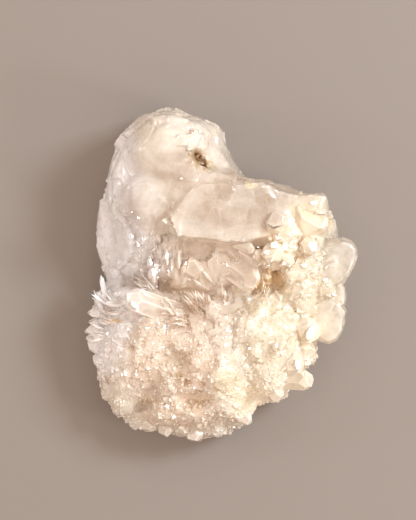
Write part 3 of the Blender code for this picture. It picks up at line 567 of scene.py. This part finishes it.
# ---------------------------------------------------------------- stage
VIEW_CENTRE = (-3.75, 4.2)
VIEW_HEIGHT = 1000.0
SHARP_PLANE = 15.0  # height at which VIEW_LENGTH is seen from edge to edge
VIEW_LENGTH = 156.0
SENSOR = 36.0
FLOOR_SIZE = 6000.0
FLOOR_COLOUR = (0.286, 0.235, 0.202, 1)
DOME_COLOUR = (1.0, 0.86, 0.757, 1)
DOME_STRENGTH = 0.95
LIGHTS = {  # place (x, y, z), size, power, colour
    "window": ((600, 300, 620), 260, 6.0, (0.77, 0.93, 1.05)),
    "far_window": ((-700, 60, 300), 140, 0.6, (0.80, 0.90, 1.0)),
    "north_lamp": ((150, 600, 700), 80, 0.4, (0.85, 0.94, 1.0)),
    "east_lamp": ((700, -250, 550), 160, 1.4, (0.9, 0.95, 1.0)),
}

# ---------------------------------------------------------------- hand tools
noise.seed_set(SEED)


def luck(name):
    """A random stream of its own for each named shape."""
    return random.Random(f"{SEED} {name}")


def point(x, y, z):
    return Vector((x, y, z)) * MM


def deselect():
    bpy.ops.object.select_all(action="DESELECT")


def take(*objs):
    """Selects these objects alone and makes the first one active."""
    deselect()
    for obj in objs:
        obj.select_set(True)
    bpy.context.view_layer.objects.active = objs[0]


@contextmanager
def editing(obj):
    """Edit mode on one object with everything selected, and back to object mode after."""
    take(obj)
    bpy.ops.object.mode_set(mode="EDIT")
    bpy.ops.mesh.select_all(action="SELECT")
    yield
    bpy.ops.object.mode_set(mode="OBJECT")


def corners(obj):
    """An object's corners as an array of rows."""
    spots = np.empty(len(obj.data.vertices) * 3)
    obj.data.vertices.foreach_get("co", spots)
    return spots.reshape(-1, 3)


def put_in_scene(name, data):
    obj = bpy.data.objects.new(name, data)
    bpy.context.scene.collection.objects.link(obj)
    return obj


def set_corners(obj, spots):
    obj.data.vertices.foreach_set("co", np.asarray(spots, float).ravel())
    obj.data.update()


def strike(spot, normal):
    """In edit mode, cleaves off what lies past a plane and closes the cut with one flat face."""
    bpy.ops.mesh.select_all(action="SELECT")
    bpy.ops.mesh.bisect(plane_co=spot, plane_no=normal, use_fill=True, clear_outer=True, threshold=1e-7)


def join(name, objs):
    take(*objs)
    bpy.ops.object.join()
    objs[0].name = objs[0].data.name = name
    return objs[0]


def apply_modifier(obj, kind, **settings):
    take(obj)
    modifier = obj.modifiers.new(kind.title(), kind)
    for key, value in settings.items():
        setattr(modifier, key, value)
    bpy.ops.object.modifier_apply(modifier=modifier.name)


def remesh(obj, grain):
    """One skin around all that overlaps in a mesh, made of small faces of this size."""
    apply_modifier(obj, "REMESH", mode="VOXEL", voxel_size=grain * MM)


def unite(body, other):
    """Grows one closed mesh into another, with no wall left inside."""
    apply_modifier(body, "BOOLEAN", operation="UNION", solver="MANIFOLD", object=other)
    bpy.data.objects.remove(other)


def carve(body, mould):
    """Takes one closed mesh out of another."""
    apply_modifier(body, "BOOLEAN", operation="DIFFERENCE", solver="MANIFOLD", object=mould)
    bpy.data.objects.remove(mould)


# ---------------------------------------------------------------- massive quartz
def wrapped(name, points):
    """A block: a ring of corners set at its points, then wrapped in a hull."""
    deselect()
    bpy.ops.mesh.primitive_circle_add(vertices=len(points), radius=MM)
    obj = bpy.context.object
    obj.name = name
    set_corners(obj, points)
    with editing(obj):
        bpy.ops.mesh.convex_hull()
    return obj


def mass(name, waist, crown, chips=CHIPS):
    """One mass: waist, crown and an undercut foot, with broad fractures struck off its sides."""
    rng = luck(name)
    middle = sum((point(*p) for p in waist), Vector()) / len(waist)
    points = [point(*p) for p in waist + crown]
    for x, y, _ in waist:
        foot = middle + (point(x, y, 0) - middle) * rng.uniform(*UNDERCUT)
        points.append(Vector((foot.x, foot.y, -BURIED * MM)))
    block = wrapped(name, points)
    for _ in range(chips):
        around, tilt = rng.uniform(0, math.tau), math.radians(rng.uniform(*CHIP_TILT))
        flat = math.cos(tilt)
        normal = Vector((math.cos(around) * flat, math.sin(around) * flat, math.sin(tilt)))
        farthest = max((v.co for v in block.data.vertices), key=lambda co: co.dot(normal)).copy()
        spot = farthest - normal * rng.uniform(*CHIP_DEPTH) * MM
        with editing(block):
            strike(spot, normal)
    return block


def knob(name, centre, radii, roughness=0.06, detail=2):
    """A rounded lump: a coarse ball with its corners pushed about."""
    rng = luck(name)
    deselect()
    bpy.ops.mesh.primitive_ico_sphere_add(subdivisions=detail, radius=1.0)
    ball = bpy.context.object
    ball.name = name
    for v in ball.data.vertices:
        v.co *= 1 + rng.uniform(-roughness, roughness)
        v.co = Vector(c * r for c, r in zip(v.co, radii)) * MM + point(*centre)
    return ball


def skin_of(objs):
    """What rays strike first on the outside of several overlapping blocks."""
    spots, faces = [], []
    for obj in objs:
        first = len(spots)
        spots += [v.co.copy() for v in obj.data.vertices]
        faces += [[first + i for i in face.vertices] for face in obj.data.polygons]
    return BVHTree.FromPolygons(spots, faces)


def druse_bed(skin):
    """Low lumps under the druse."""
    rng = luck("druse_bed")
    lumps = []
    for spot, normal in struck_roots(skin, DRUSE_KNOBS, DRUSE_KNOB_GAP, DRUSE_FOOT, rng):
        size = rng.uniform(*DRUSE_KNOB_SIZE)
        centre = spot / MM - normal * size * DRUSE_KNOB_SUNK
        lumps.append(knob(f"druse_knob_{len(lumps):02d}", centre, (size, size, size), 0.10, 1))
    return lumps


def struck_roots(skin, count, spacing, low, rng):
    """Spots on the outside, well apart, where the druse grows: (spot, normal)."""
    roots = []
    for _ in range(80 * count):
        if len(roots) == count:
            break
        angle, height = rng.uniform(0, math.tau), rng.uniform(0.0, 1.0)
        aim = point(rng.uniform(-0.5, 0.5) * WIDTH, rng.uniform(-0.5, 0.5) * LENGTH, 12)
        outward = Vector((math.cos(angle) * (1 - height), math.sin(angle) * (1 - height), height))
        start = aim + outward.normalized() * LENGTH * MM
        spot, normal, _, _ = skin.ray_cast(start, (aim - start).normalized())
        if spot is None or spot.z < low * MM or not grows_druse(spot):
            continue
        if all((spot - other).length > spacing * MM for other, _ in roots):
            roots.append((spot, normal))
    return roots


def cut_flat(body):
    """The underside, broken off flat."""
    with editing(body):
        bpy.ops.mesh.bisect(plane_co=(0, 0, 0), plane_no=(0, 0, 1), use_fill=True, clear_inner=True)
    take(body)
    bpy.ops.object.shade_smooth_by_angle(angle=CREASE)


def calm(spot):
    """How smooth the quartz is at a place, from 0, broken all over, to 1, as on the plateau."""
    nearest = max(1 - (spot.xy / MM - Vector((x, y))).length / reach for x, y, reach in SMOOTH_PLACES)
    return min(1.0, max(0.0, CALM_GAIN * nearest))


def cell_plane(spot, size, slope, step):
    """Height of a surface of small flat breaks: each cell is a tilted plane of its own."""
    _, centres = noise.voronoi(spot / (size * MM))
    lean = 2 * noise.cell_vector(centres[0]) - Vector((1, 1, 1))
    away = spot / MM - centres[0] * size
    return slope * lean.dot(away) + step * lean.x


def rib(spot):
    """Height of the upright ribs on the left wall."""
    x, y, reach, width, height = RIBS
    share = 1 - math.hypot(spot.x / MM - x, 0.8 * (spot.y / MM - y)) / reach
    if share < 0:
        return 0.0
    across = Vector((spot.x / width, spot.y / (6 * width), spot.z / (6 * width))) / MM
    return height * min(1.0, 3 * share) * (0.5 - 2 * abs(noise.noise(across)))


def break_faces(body):
    """Breaks the skin into flat faces of two sizes, gently where the quartz is smooth."""
    mesh = body.data
    normals = [v.normal.copy() for v in mesh.vertices]
    for v, normal in zip(mesh.vertices, normals):
        swirl = noise.noise_vector(v.co / (SWIRL_SIZE * MM)) * MM
        rough = 1 - CALM_SHARE * calm(v.co)
        breaks = DRUSE_FACES if grows_druse(v.co) else BREAKS
        height = sum(rough * cell_plane(v.co + swirl, *scale) for scale in breaks)
        height += SWELL * noise.noise(v.co / (SWELL_SIZE * MM)) + rib(v.co)
        v.co += normal * height * MM
    mesh.update()


def sink_pits(body):
    """Pushes the skin down to the floor of each pit."""
    for centre, radii in HOLLOWS.values():
        middle, size = point(*centre), Vector(radii) * MM
        for v in body.data.vertices:
            ragged = 1 + RAGGED * noise.noise(v.co / (RAGGED_SIZE * MM))
            away = v.co - middle
            flat = math.hypot(away.x / size.x, away.y / size.y) / ragged
            if flat < 1 and v.co.z > middle.z - 2 * size.z:
                floor = middle.z - size.z * math.sqrt(1 - flat * flat)
                v.co.z = min(v.co.z, floor)
    body.data.update()


# ---------------------------------------------------------------- crystals
def cut_tip(height, offsets, unit, rng):
    """In edit mode, cuts a prism's end at this height with the six tip faces, each off it by a little."""
    small, large = offsets
    for side in range(6):
        angle = math.radians(30 + 60 * side)
        off = rng.uniform(*(small if side % 2 else large))
        lean = math.sin(RHOMB_SLOPE)
        normal = (math.cos(angle) * lean, math.sin(angle) * lean, math.cos(RHOMB_SLOPE))
        strike((0, 0, height + unit * off), normal)


def place_along(obj, root, tip, turn):
    """Stands a crystal that was made upright on the origin at its root, pointing at its tip."""
    along = (tip - root).normalized()
    place = Matrix.Translation(root) @ along.to_track_quat("Z", "Y").to_matrix().to_4x4()
    obj.data.transform(place @ Matrix.Rotation(turn, 4, "Z"))


def crystal(name, root, tip, width, thinness, turn, blunt):
    """A six-sided prism whose end is cut by the six tip faces, three of them larger, as in quartz."""
    rng = luck(name)
    root, tip = point(*root), point(*tip)
    length = (tip - root).length
    apothem = width * MM / 2
    rise = apothem * math.tan(RHOMB_SLOPE)
    corner = apothem / math.cos(math.pi / 6)
    deselect()
    bpy.ops.mesh.primitive_cone_add(
        vertices=6, radius1=ROOT_FLARE * corner, radius2=corner, depth=length, location=(0, 0, length / 2)
    )
    obj = bpy.context.object
    obj.name = name
    bpy.ops.object.transform_apply()
    with editing(obj):
        cut_tip(length, TIP_OFFSETS, 0.5 * rise, rng)
        tilt = BREAK_TILT if blunt < 1 else 0.0
        worn = Vector((rng.uniform(-tilt, tilt), rng.uniform(-tilt, tilt), 1)).normalized()
        strike((0, 0, length - FULL_BREAK * rise * blunt), worn)
    spots = corners(obj)
    spots[:, 1] *= thinness
    spots[:, 2] *= length / spots[:, 2].max()
    set_corners(obj, spots)
    place_along(obj, root, tip, math.radians(turn))
    if width * thinness < FINE_EDGED:
        return obj
    with editing(obj):
        bpy.ops.mesh.select_mode(type="FACE")
        bpy.ops.mesh.select_all(action="SELECT")
        bpy.ops.mesh.bevel(offset=WORN_EDGE * MM, segments=1, affect="EDGES")
        bpy.ops.mesh.select_all(action="INVERT")
        # the inset ring lets the pale painted highlight show along each face's border
        line = min(HIGHLIGHT_LINE, HIGHLIGHT_LINE_SHARE * width * thinness)
        bpy.ops.mesh.inset(thickness=line * MM, use_individual=True)
        bpy.ops.mesh.select_mode(type="VERT")
    return obj


def plate(name, outline, height, half):
    """A clear plate with uneven bevelled edges: its outline and a smaller one above and below, in a hull."""
    rng = luck(name)
    middle = sum((Vector(p) for p in outline), Vector((0, 0))) / len(outline)
    points = [point(x, y, height + rng.uniform(-PLATE_UNEVEN, PLATE_UNEVEN)) for x, y in outline]
    for side in (-half, half):
        for spot in outline:
            inner = middle + (Vector(spot) - middle) * rng.uniform(*PLATE_BEVEL)
            points.append(point(inner.x, inner.y, height + side + rng.uniform(-PLATE_UNEVEN, PLATE_UNEVEN)))
    slab = wrapped(name, points)
    apply_modifier(
        slab, "BEVEL", width=PLATE_EDGE * MM, segments=2, limit_method="ANGLE", angle_limit=math.radians(12)
    )
    remesh(slab, PLATE_GRAIN)
    for v in slab.data.vertices:
        v.co += v.normal * PLATE_WAVE * MM * noise.noise(v.co / (PLATE_WAVE_SIZE * MM))
    take(slab)
    bpy.ops.object.shade_smooth_by_angle(angle=PLATE_CREASE)
    return slab


# ---------------------------------------------------------------- druse
def druse_shape(name, stout):
    """A small quartz point, one unit across and grown through the origin."""
    rng = luck(name)
    deselect()
    bpy.ops.mesh.primitive_cylinder_add(
        vertices=6, radius=DRUSE_RADIUS, depth=DRUSE_DEPTH, location=(0, 0, stout - 0.5)
    )
    obj = bpy.context.object
    obj.name = name
    bpy.ops.object.transform_apply()
    with editing(obj):
        cut_tip(stout, DRUSE_TIP_OFFSETS, 1, rng)
    return obj


def grows_druse(spot):
    """Whether small crystals cover the quartz at this place."""
    x, y, _ = spot / MM
    covered = y < DRUSE_NORTH or (x > DRUSE_RIGHT and y < DRUSE_RIGHT_NORTH)
    return covered and all(math.hypot(x - cx, y - cy) > r for cx, cy, r in DRUSE_FREE)


def is_coarse(spot):
    """Whether the druse crystals are large at this place."""
    x, y, _ = spot / MM
    return x + 5 * noise.noise(spot / (5 * MM)) > COARSE_EAST and y > COARSE_SOUTH


def bed_spots(body, outward, count, spacing, coarse, rng):
    """Spots on the massive quartz where fine or coarse druse grows, spacing or more apart: (spot, normal)."""
    low = LOWEST_DRUSE * MM
    faces = [f for f in body.data.polygons if outward[f.index].z > OVERHANG and f.center.z > low]
    faces = [f for f in faces if grows_druse(f.center) and is_coarse(f.center) == coarse]
    rng.shuffle(faces)
    taken, spots = {}, []
    gap = spacing * MM
    for face in faces:
        cell = tuple(int(c // gap) for c in face.center)
        around = (
            taken.get((cell[0] + i, cell[1] + j, cell[2] + k), ())
            for i in (-1, 0, 1) for j in (-1, 0, 1) for k in (-1, 0, 1)
        )
        if all((face.center - other).length > gap for near in around for other in near):
            taken.setdefault(cell, []).append(face.center.copy())
            spots.append((face.center.copy(), outward[face.index]))
        if len(spots) == count:
            break
    return spots


def crust(name, shapes, places):
    """One mesh of many crystals. places: (which shape, its matrix)."""
    forms = [(corners(s), [tuple(f.vertices) for f in s.data.polygons]) for s in shapes]
    spots, faces, first = [], [], 0
    for which, matrix in places:
        form, polygons = forms[which]
        turn, shift = np.array(matrix.to_3x3()), np.array(matrix.translation)
        spots.append(form @ turn.T + shift)
        faces += [tuple(first + i for i in face) for face in polygons]
        first += len(form)
    mesh = bpy.data.meshes.new(name)
    mesh.from_pydata(np.concatenate(spots).tolist(), [], faces)
    return put_in_scene(name, mesh)


def parted(places, reach):
    """Sorts crystals into groups in which none touches another."""
    groups = []
    for place in places:
        matrix = place[1]
        size = max(matrix.to_scale())
        middle = matrix @ Vector((0, 0, DRUSE_MIDDLE))
        for group in groups:
            if all((middle - other).length > reach * (size + other_size) for other, other_size, _ in group):
                group.append((middle, size, place))
                break
        else:
            groups.append([(middle, size, place)])
    return [[place for _, _, place in group] for group in groups]


def grow_together(name, shapes, places):
    """Crystals grown into each other: one skin with sharp faces."""
    groups = parted(places, DRUSE_REACH)
    bodies = [crust(name, shapes, group) for group in groups]
    while len(bodies) > 1:
        for body, other in zip(bodies[::2], bodies[1::2]):
            unite(body, other)
        bodies = bodies[::2]
    return bodies[0]


def druse_places(body, outward, shapes, rng):
    """Where each druse crystal stands, leaning with its neighbours: (which shape, matrix)."""
    places = []
    for coarse, (spacing, smallest, largest, count) in ((False, FINE_DRUSE), (True, COARSE_DRUSE)):
        for spot, normal in bed_spots(body, outward, count, spacing, coarse, rng):
            drift = noise.noise_vector(spot / (DRIFT_SIZE * MM))
            sway = Vector(rng.uniform(-1, 1) for _ in range(3))
            along = (normal + DRUSE_LEAN * (0.9 * drift + 0.7 * sway)).normalized()
            usual = smallest + DRUSE_USUAL * (largest - smallest)
            size = rng.triangular(smallest, largest, usual) * MM
            places.append((rng.randrange(len(shapes)), standing(spot, along, size, size, rng)))
    return places


def standing(spot, along, width, length, rng):
    upright = along.to_track_quat("Z", "Y").to_matrix().to_4x4()
    turned = Matrix.Translation(spot) @ upright @ Matrix.Rotation(rng.uniform(0, math.tau), 4, "Z")
    return turned @ Matrix.Diagonal((width, width, length, 1))


def needle_places(shapes, rng):
    """The needles of each fan: (which shape, matrix)."""
    places = []
    for root, tip, spread, number, width in FANS:
        for _ in range(number):
            start = point(*root) + Vector(rng.uniform(-1, 1) for _ in range(3)) * 0.5 * spread * MM
            end = point(*tip) + Vector(rng.uniform(-1, 1) for _ in range(3)) * spread * MM
            along = end - start
            thick = width * rng.uniform(0.7, 1.5) * MM
            places.append((rng.randrange(len(shapes)), standing(end, along, thick, along.length * 0.7, rng)))
    return places


# ---------------------------------------------------------------- finishes
def operator(kind, swapped=False):
    """What an arithmetic sign on an Amount does: it adds a Math node of this kind."""

    def add_node(amount, other):
        first, second = (other, amount) if swapped else (amount, other)
        return amount.paint.math(kind, first, second)

    return add_node


class Amount:
    """A number that varies over a surface. Arithmetic on it adds the Math nodes."""

    def __init__(self, paint, socket):
        self.paint, self.socket = paint, socket

    __add__, __radd__ = operator("ADD"), operator("ADD", swapped=True)
    __sub__, __rsub__ = operator("SUBTRACT"), operator("SUBTRACT", swapped=True)
    __mul__, __rmul__ = operator("MULTIPLY"), operator("MULTIPLY", swapped=True)


class Paint:
    """A material and its nodes."""

    def __init__(self, name):
        self.material = bpy.data.materials.new(name)
        self.material.use_nodes = True
        self.tree = self.material.node_tree
        self.tree.nodes.clear()
        place = self.add("ShaderNodeTexCoord").outputs["Object"]
        scaled = self.add("ShaderNodeVectorMath", {"operation": "SCALE"}, Vector=place, Scale=1 / MM)
        self.place = scaled.outputs["Vector"]  # millimetres

    def add(self, kind, settings=None, **values):
        """A node: its settings first, then its sockets' values or links, by name or as _0, _1 and so on."""
        node = self.tree.nodes.new(kind)
        for key, value in (settings or {}).items():
            setattr(node, key, value)
        for key, value in values.items():
            socket = node.inputs[int(key[1:])] if key[0] == "_" else node.inputs[key.replace("__", " ")]
            value = value.socket if isinstance(value, Amount) else value
            if isinstance(value, bpy.types.NodeSocket):
                self.tree.links.new(value, socket)
            else:
                socket.default_value = value
        return node

    def math(self, operation, first, second):
        node = self.add("ShaderNodeMath", {"operation": operation}, _0=first, _1=second)
        return Amount(self, node.outputs[0])

    def vector(self, operation, first, second):
        return self.add("ShaderNodeVectorMath", {"operation": operation}, _0=first, _1=second).outputs[0]

    def mix(self, share, under, over):
        """A colour: over laid on under."""
        node = self.add("ShaderNodeMix", {"data_type": "RGBA"}, _0=share, _6=under, _7=over)
        return node.outputs[2]

    def noise(self, size, detail=2.0, rough=0.5, place=None):
        """Soft noise from 0 to 1 with lumps of this size in millimetres."""
        node = self.add(
            "ShaderNodeTexNoise", Vector=place or self.place, Scale=1 / size, Detail=detail, Roughness=rough
        )
        return Amount(self, node.outputs[0])

    def warp(self, size, reach):
        """The place, pushed about by noise."""
        node = self.add("ShaderNodeTexNoise", Vector=self.place, Scale=1 / size, Detail=2.0)
        centred = self.vector("SUBTRACT", node.outputs["Color"], (0.5, 0.5, 0.5))
        return self.vector("ADD", self.place, self.vector("MULTIPLY", centred, 3 * (2 * reach,)))

    def fade(self, amount, start, end):
        """0 at start, 1 at end, smooth between."""
        node = self.add(
            "ShaderNodeMapRange", {"interpolation_type": "SMOOTHSTEP"},
            Value=amount, From__Min=start, From__Max=end, To__Min=0.0, To__Max=1.0,
        )
        return Amount(self, node.outputs[0])

    def patch(self, place, centre, radii):
        """A soft-edged blot: 1 in its middle, 0 outside."""
        away = self.vector("DIVIDE", self.vector("SUBTRACT", place, centre), (*radii, PATCH_DEPTH)[:3])
        length = self.add("ShaderNodeVectorMath", {"operation": "LENGTH"}, _0=away).outputs["Value"]
        return self.fade(length, 1.0, 0.35)

    def bump(self, height, strength, depth):
        return self.add("ShaderNodeBump", Strength=strength, Distance=depth * MM, Height=height).outputs[0]

    def finish(self, shader):
        self.add("ShaderNodeOutputMaterial", Surface=shader.outputs[0])
        return self.material


def quartz_colour(paint, pale=0.0):
    """The cluster's colour: wide tints, some of them painted light on dimly lit sides, clouds in the milk,
    then iron stains. pale: share of milk.
    """
    wide = paint.warp(9.0, 4.0)
    colour = CREAM
    for tint, centre, radii, share in TINTS:
        colour = paint.mix(paint.patch(wide, centre, radii) * share, colour, tint)
    clouds = paint.fade(paint.noise(7.0, 3.0, 0.55), 0.36, 0.66)
    colour = paint.mix(clouds * 0.12 + pale, colour, MILK)
    fine = paint.warp(2.2, 1.5)
    grain = 0.5 + 0.5 * paint.fade(paint.noise(0.9, 3.0, 0.6), 0.38, 0.56)
    for tint, centre, radii, share in STAINS:
        blotch = paint.patch(fine, centre, radii) * share
        colour = paint.mix(blotch * grain, colour, tint)
    return colour


def milk(paint, colour, bump, reach):
    """Milky quartz: light sinks in and spreads this far. With no reach it is a thin white veil."""
    gloss = paint.fade(paint.noise(3.0, 2.0), 0.35, 0.7)
    shine = Amount(paint, SHINE)
    for centre, radii, taken in DULL_PLACES:
        shine = shine - paint.patch(paint.place, centre, radii) * taken
    return paint.add(
        "ShaderNodeBsdfPrincipled",
        Base__Color=colour, Roughness=0.24 + 0.2 * gloss, IOR=QUARTZ_IOR,
        Subsurface__Weight=1.0 if reach else 0.0, Subsurface__Radius=MILK_TINT,
        Subsurface__Scale=reach * MM,
        Coat__Weight=shine, Coat__Roughness=0.04, Coat__IOR=QUARTZ_IOR, Normal=bump,
    )


def glass(paint, bump):
    """Clear quartz."""
    veil = paint.fade(paint.noise(2.4, 3.0, 0.6), 0.45, 0.75)
    return paint.add(
        "ShaderNodeBsdfPrincipled",
        Base__Color=CLEAR, Roughness=0.02 + 0.08 * veil, IOR=QUARTZ_IOR, Transmission__Weight=1.0,
        Normal=bump,
    )


def sharpness(paint):
    """How far a place stands out (above a half) or lies in a crease (below it)."""
    return Amount(paint, paint.add("ShaderNodeNewGeometry").outputs["Pointiness"])


def edge_highlight_and_crease_shade(paint, colour, edges, crevices):
    """Painted highlight, pale along edges, and painted shade, warm and darker down in the creases like
    thicker quartz.
    """
    sharp = sharpness(paint)
    colour = paint.mix(paint.fade(sharp, 0.5, 0.44) * crevices, colour, CREASE_SHADE_AMBER)
    return paint.mix(paint.fade(sharp, 0.52, 0.60) * edges, colour, MILK)


def fractures(paint, colour):
    """Healed breaks inside the quartz: blocks of slightly different milk with pale lines between."""
    for size, lines, blocks in HEALED:
        place = paint.warp(0.8 * size, 0.25 * size)
        where = {"Vector": place, "Scale": 1 / size}
        cells = paint.add("ShaderNodeTexVoronoi", **where)
        tone = Amount(paint, paint.add("ShaderNodeSeparateXYZ", _0=cells.outputs["Color"]).outputs["X"])
        colour = paint.mix(paint.fade(tone, 0.3, 1.0) * blocks, colour, MILK)
        border = paint.add("ShaderNodeTexVoronoi", {"feature": "DISTANCE_TO_EDGE"}, **where)
        colour = paint.mix(paint.fade(border.outputs["Distance"], 0.05, 0.0) * lines, colour, MILK)
    return colour


def in_druse(paint):
    """1 in the southern half, where the druse grows, and 0 north of it."""
    north = Amount(paint, paint.add("ShaderNodeSeparateXYZ", _0=paint.place).outputs["Y"])
    return paint.fade(north, *DRUSE_FADE)


def milky_finish():
    paint = Paint("milky quartz")
    druse = in_druse(paint)
    colour = fractures(paint, quartz_colour(paint))
    # pale painted highlights on edges and painted shade in creases, the shade stronger in the druse
    colour = edge_highlight_and_crease_shade(paint, colour, 0.6, 0.12 + 0.4 * druse)
    return paint.finish(milk(paint, colour, paint.bump(skin_grain(paint), 0.5, 0.35), MILK_REACH))


def skin_grain(paint):
    """Height of the finest relief: uneven all over, streaked on the glassy left wall, sugary in the druse."""
    streaks = paint.noise(1.0, 3.0, 0.6, paint.vector("MULTIPLY", paint.warp(5.0, 2.0), (1.0, 0.16, 0.4)))
    glassy = paint.patch(paint.place, *GLASSY_WALL)
    grains = paint.add("ShaderNodeTexVoronoi", Vector=paint.place, Scale=1 / 0.7).outputs["Distance"]
    sugar = Amount(paint, grains) * in_druse(paint)
    return 0.5 * paint.noise(1.3, 4.0, 0.6) + streaks * (0.3 + 2.6 * glassy) - 0.5 * sugar


def cloudy_finish(name):
    """Clear quartz with a veil of milk, pale painted highlights on its edges and painted shade in its
    creases.
    """
    clear, spread, edges, bump = CLOUDED[name]
    paint = Paint(name)
    bump = paint.bump(skin_grain(paint), *bump)
    share = clear[0] + 2 * clear[1] * (paint.noise(spread, 3.0, 0.55) - 0.5)
    # edges are also made milkier, part of their painted highlight
    share = share - paint.fade(sharpness(paint), 0.51, 0.60) * edges
    for centre, radii, less in DENSE_PLACES:
        share = share - paint.patch(paint.place, centre, radii) * less
    inside = paint.add("ShaderNodeNewGeometry").outputs["Backfacing"]
    colour = edge_highlight_and_crease_shade(paint, fractures(paint, quartz_colour(paint, 0.15)), edges, 0.15)
    shader = paint.add(
        "ShaderNodeMixShader", _0=paint.math("MAXIMUM", share, inside),
        _1=milk(paint, colour, bump, 0).outputs[0], _2=glass(paint, bump).outputs[0],
    )
    return paint.finish(shader)


def floor_finish():
    paint = Paint("studio floor")
    shader = paint.add("ShaderNodeBsdfPrincipled", Base__Color=FLOOR_COLOUR, Roughness=0.75)
    return paint.finish(shader)


def wear(obj, finish):
    obj.data.materials.clear()
    obj.data.materials.append(finish)


# ---------------------------------------------------------------- stage
def stand_floor():
    deselect()
    bpy.ops.mesh.primitive_plane_add(size=FLOOR_SIZE * MM)
    floor = bpy.context.object
    floor.name = "floor"
    wear(floor, floor_finish())


def hang_light(name, spot, size, power, colour):
    """A softbox that faces the cluster."""
    lamp = bpy.data.lights.new(name, "AREA")
    lamp.shape, lamp.size, lamp.energy, lamp.color = "SQUARE", size * MM, power, colour
    holder = put_in_scene(name, lamp)
    holder.location = point(*spot)
    holder.rotation_euler = (-holder.location).to_track_quat("-Z", "Y").to_euler()


def light_room():
    world = bpy.data.worlds.new("studio")
    world.use_nodes = True
    dome = world.node_tree.nodes["Background"]
    dome.inputs["Color"].default_value = DOME_COLOUR
    dome.inputs["Strength"].default_value = DOME_STRENGTH
    bpy.context.scene.world = world
    for name, (spot, size, power, colour) in LIGHTS.items():
        hang_light(name, spot, size, power, colour)


def stand_camera():
    """Looks straight down on the cluster."""
    camera = put_in_scene("camera", bpy.data.cameras.new("camera"))
    camera.location = point(*VIEW_CENTRE, VIEW_HEIGHT)
    camera.data.sensor_fit = "VERTICAL"
    camera.data.sensor_height = SENSOR
    camera.data.lens = SENSOR * (VIEW_HEIGHT - SHARP_PLANE) / VIEW_LENGTH
    bpy.context.scene.camera = camera


# ---------------------------------------------------------------- the cluster
def dress(obj, finish):
    """A finished piece: its material, and its place in the frame."""
    wear(obj, finish)
    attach(obj, BODY)
    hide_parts(NODE)


def glints(grown):
    """Flat crystal ends that mirror the window to an eye straight above."""
    skin = skin_of(grown)
    along = (point(*LIGHTS["window"][0]).normalized() + Vector((0, 0, 1))).normalized()
    sideways = 90 + math.degrees(math.atan2(along.y, along.x))
    rng = luck("glints")
    ends = list(GLINTS)
    for (x, y), reach, number, widths, turn in SPARKLES:
        for _ in range(number):
            around, away = rng.uniform(0, math.tau), reach * math.sqrt(rng.random())
            spot = (x + away * math.cos(around), y + away * math.sin(around))
            width, thinness = rng.triangular(*widths, widths[0]), rng.uniform(*SPARKLE_THIN)
            ends.append((*spot, width, thinness, rng.gauss(turn, SPARKLE_TURN)))
    facets = []
    for x, y, width, thinness, turn in ends:
        spot, _, _, _ = skin.ray_cast(point(x, y, ABOVE), Vector((0, 0, -1)))
        tip = spot / MM + along * max(GLINT_LIFT * width, LEAST_LIFT)
        root = tip - along * GLINT_DEPTH * width
        facets.append(crystal(f"glint_{len(facets):02d}", root, tip, width, thinness, turn - sideways, 1))
    return join("glints", facets)


def grown_thick(name, body, depth):
    """A copy of the body whose skin stands this much farther out."""
    take(body)
    bpy.ops.object.duplicate()
    copy = bpy.context.object
    copy.name = copy.data.name = name
    normals = np.empty(len(copy.data.vertices) * 3)
    copy.data.vertices.foreach_get("normal", normals)
    set_corners(copy, corners(copy) + normals.reshape(-1, 3) * depth * MM)
    return copy


def stood_on(piece, body):
    """Takes away what is buried in the body, so that a clear piece stands on milky quartz."""
    carve(piece, grown_thick("mould", body, SEAM))
    return piece


def united(name, shapes):
    """Several closed meshes grown into one."""
    first, *others = shapes
    first.name = first.data.name = name
    for other in others:
        unite(first, other)
    return first


def build_cluster():
    blocks = {name: mass(name, **shape) for name, shape in MASSES.items()}
    crisp = [blocks.pop(name) for name in CRISP]
    worn = list(blocks.values()) + [knob(name, centre, radii) for name, (centre, radii) in KNOBS.items()]
    plates = [plate(name, *shape) for name, shape in PLATES.items()]
    body = join("milky_quartz", worn + druse_bed(skin_of(worn + crisp + plates)))
    remesh(body, GRAIN)
    apply_modifier(body, "SMOOTH", factor=0.5, iterations=WEAR)
    for block in crisp:
        unite(body, block)
    for name, spots in CLEFTS.items():
        carve(body, wrapped(name, [point(*p) for p in spots]))
    remesh(body, GRAIN)
    outward = [f.normal.copy() for f in body.data.polygons]
    break_faces(body)
    sink_pits(body)
    inside = grown_thick("milky_inside", body, -INSIDE_DEPTH)
    remesh(inside, GRAIN)
    cut_flat(inside)
    dress(inside, milky_finish())

    shapes = [druse_shape(f"druse_shape_{n}", LEAST_STOUT + STOUT_STEP * n) for n in range(DRUSE_SHAPES)]
    rng = luck("druse")
    places = druse_places(body, outward, shapes, rng)
    clear = [place for place in places if rng.random() < CLEAR_DRUSE]
    milky = [place for place in places if place not in clear] + needle_places(shapes, rng)
    unite(body, grow_together("druse", shapes, milky))
    points = {name: crystal(name, *shape) for name, shape in CRYSTALS.items()}
    for name in MILKY_CRYSTALS:
        unite(body, points.pop(name))
    unite(body, glints([body, *points.values(), *plates]))
    clear_pieces = (
        (grow_together("clear_druse", shapes, clear), cloudy_finish("clear druse")),
        (united("clear_points", list(points.values())), cloudy_finish("clear quartz")),
        (united("clear_plates", plates), cloudy_finish("clear plates")),
    )
    for piece, finish in clear_pieces:
        dress(stood_on(piece, body), finish)
    for shape in shapes:
        bpy.data.objects.remove(shape)
    cut_flat(body)
    dress(body, cloudy_finish("clouded skin"))


stand_camera()
stand_floor()
light_room()
bpy.context.scene.view_settings.view_transform = "Standard"
cycles = bpy.context.scene.cycles
cycles.max_bounces, cycles.diffuse_bounces, cycles.glossy_bounces, cycles.transmission_bounces = 24, 12, 8, 16
cycles.sample_clamp_indirect = 0.0
build_cluster()
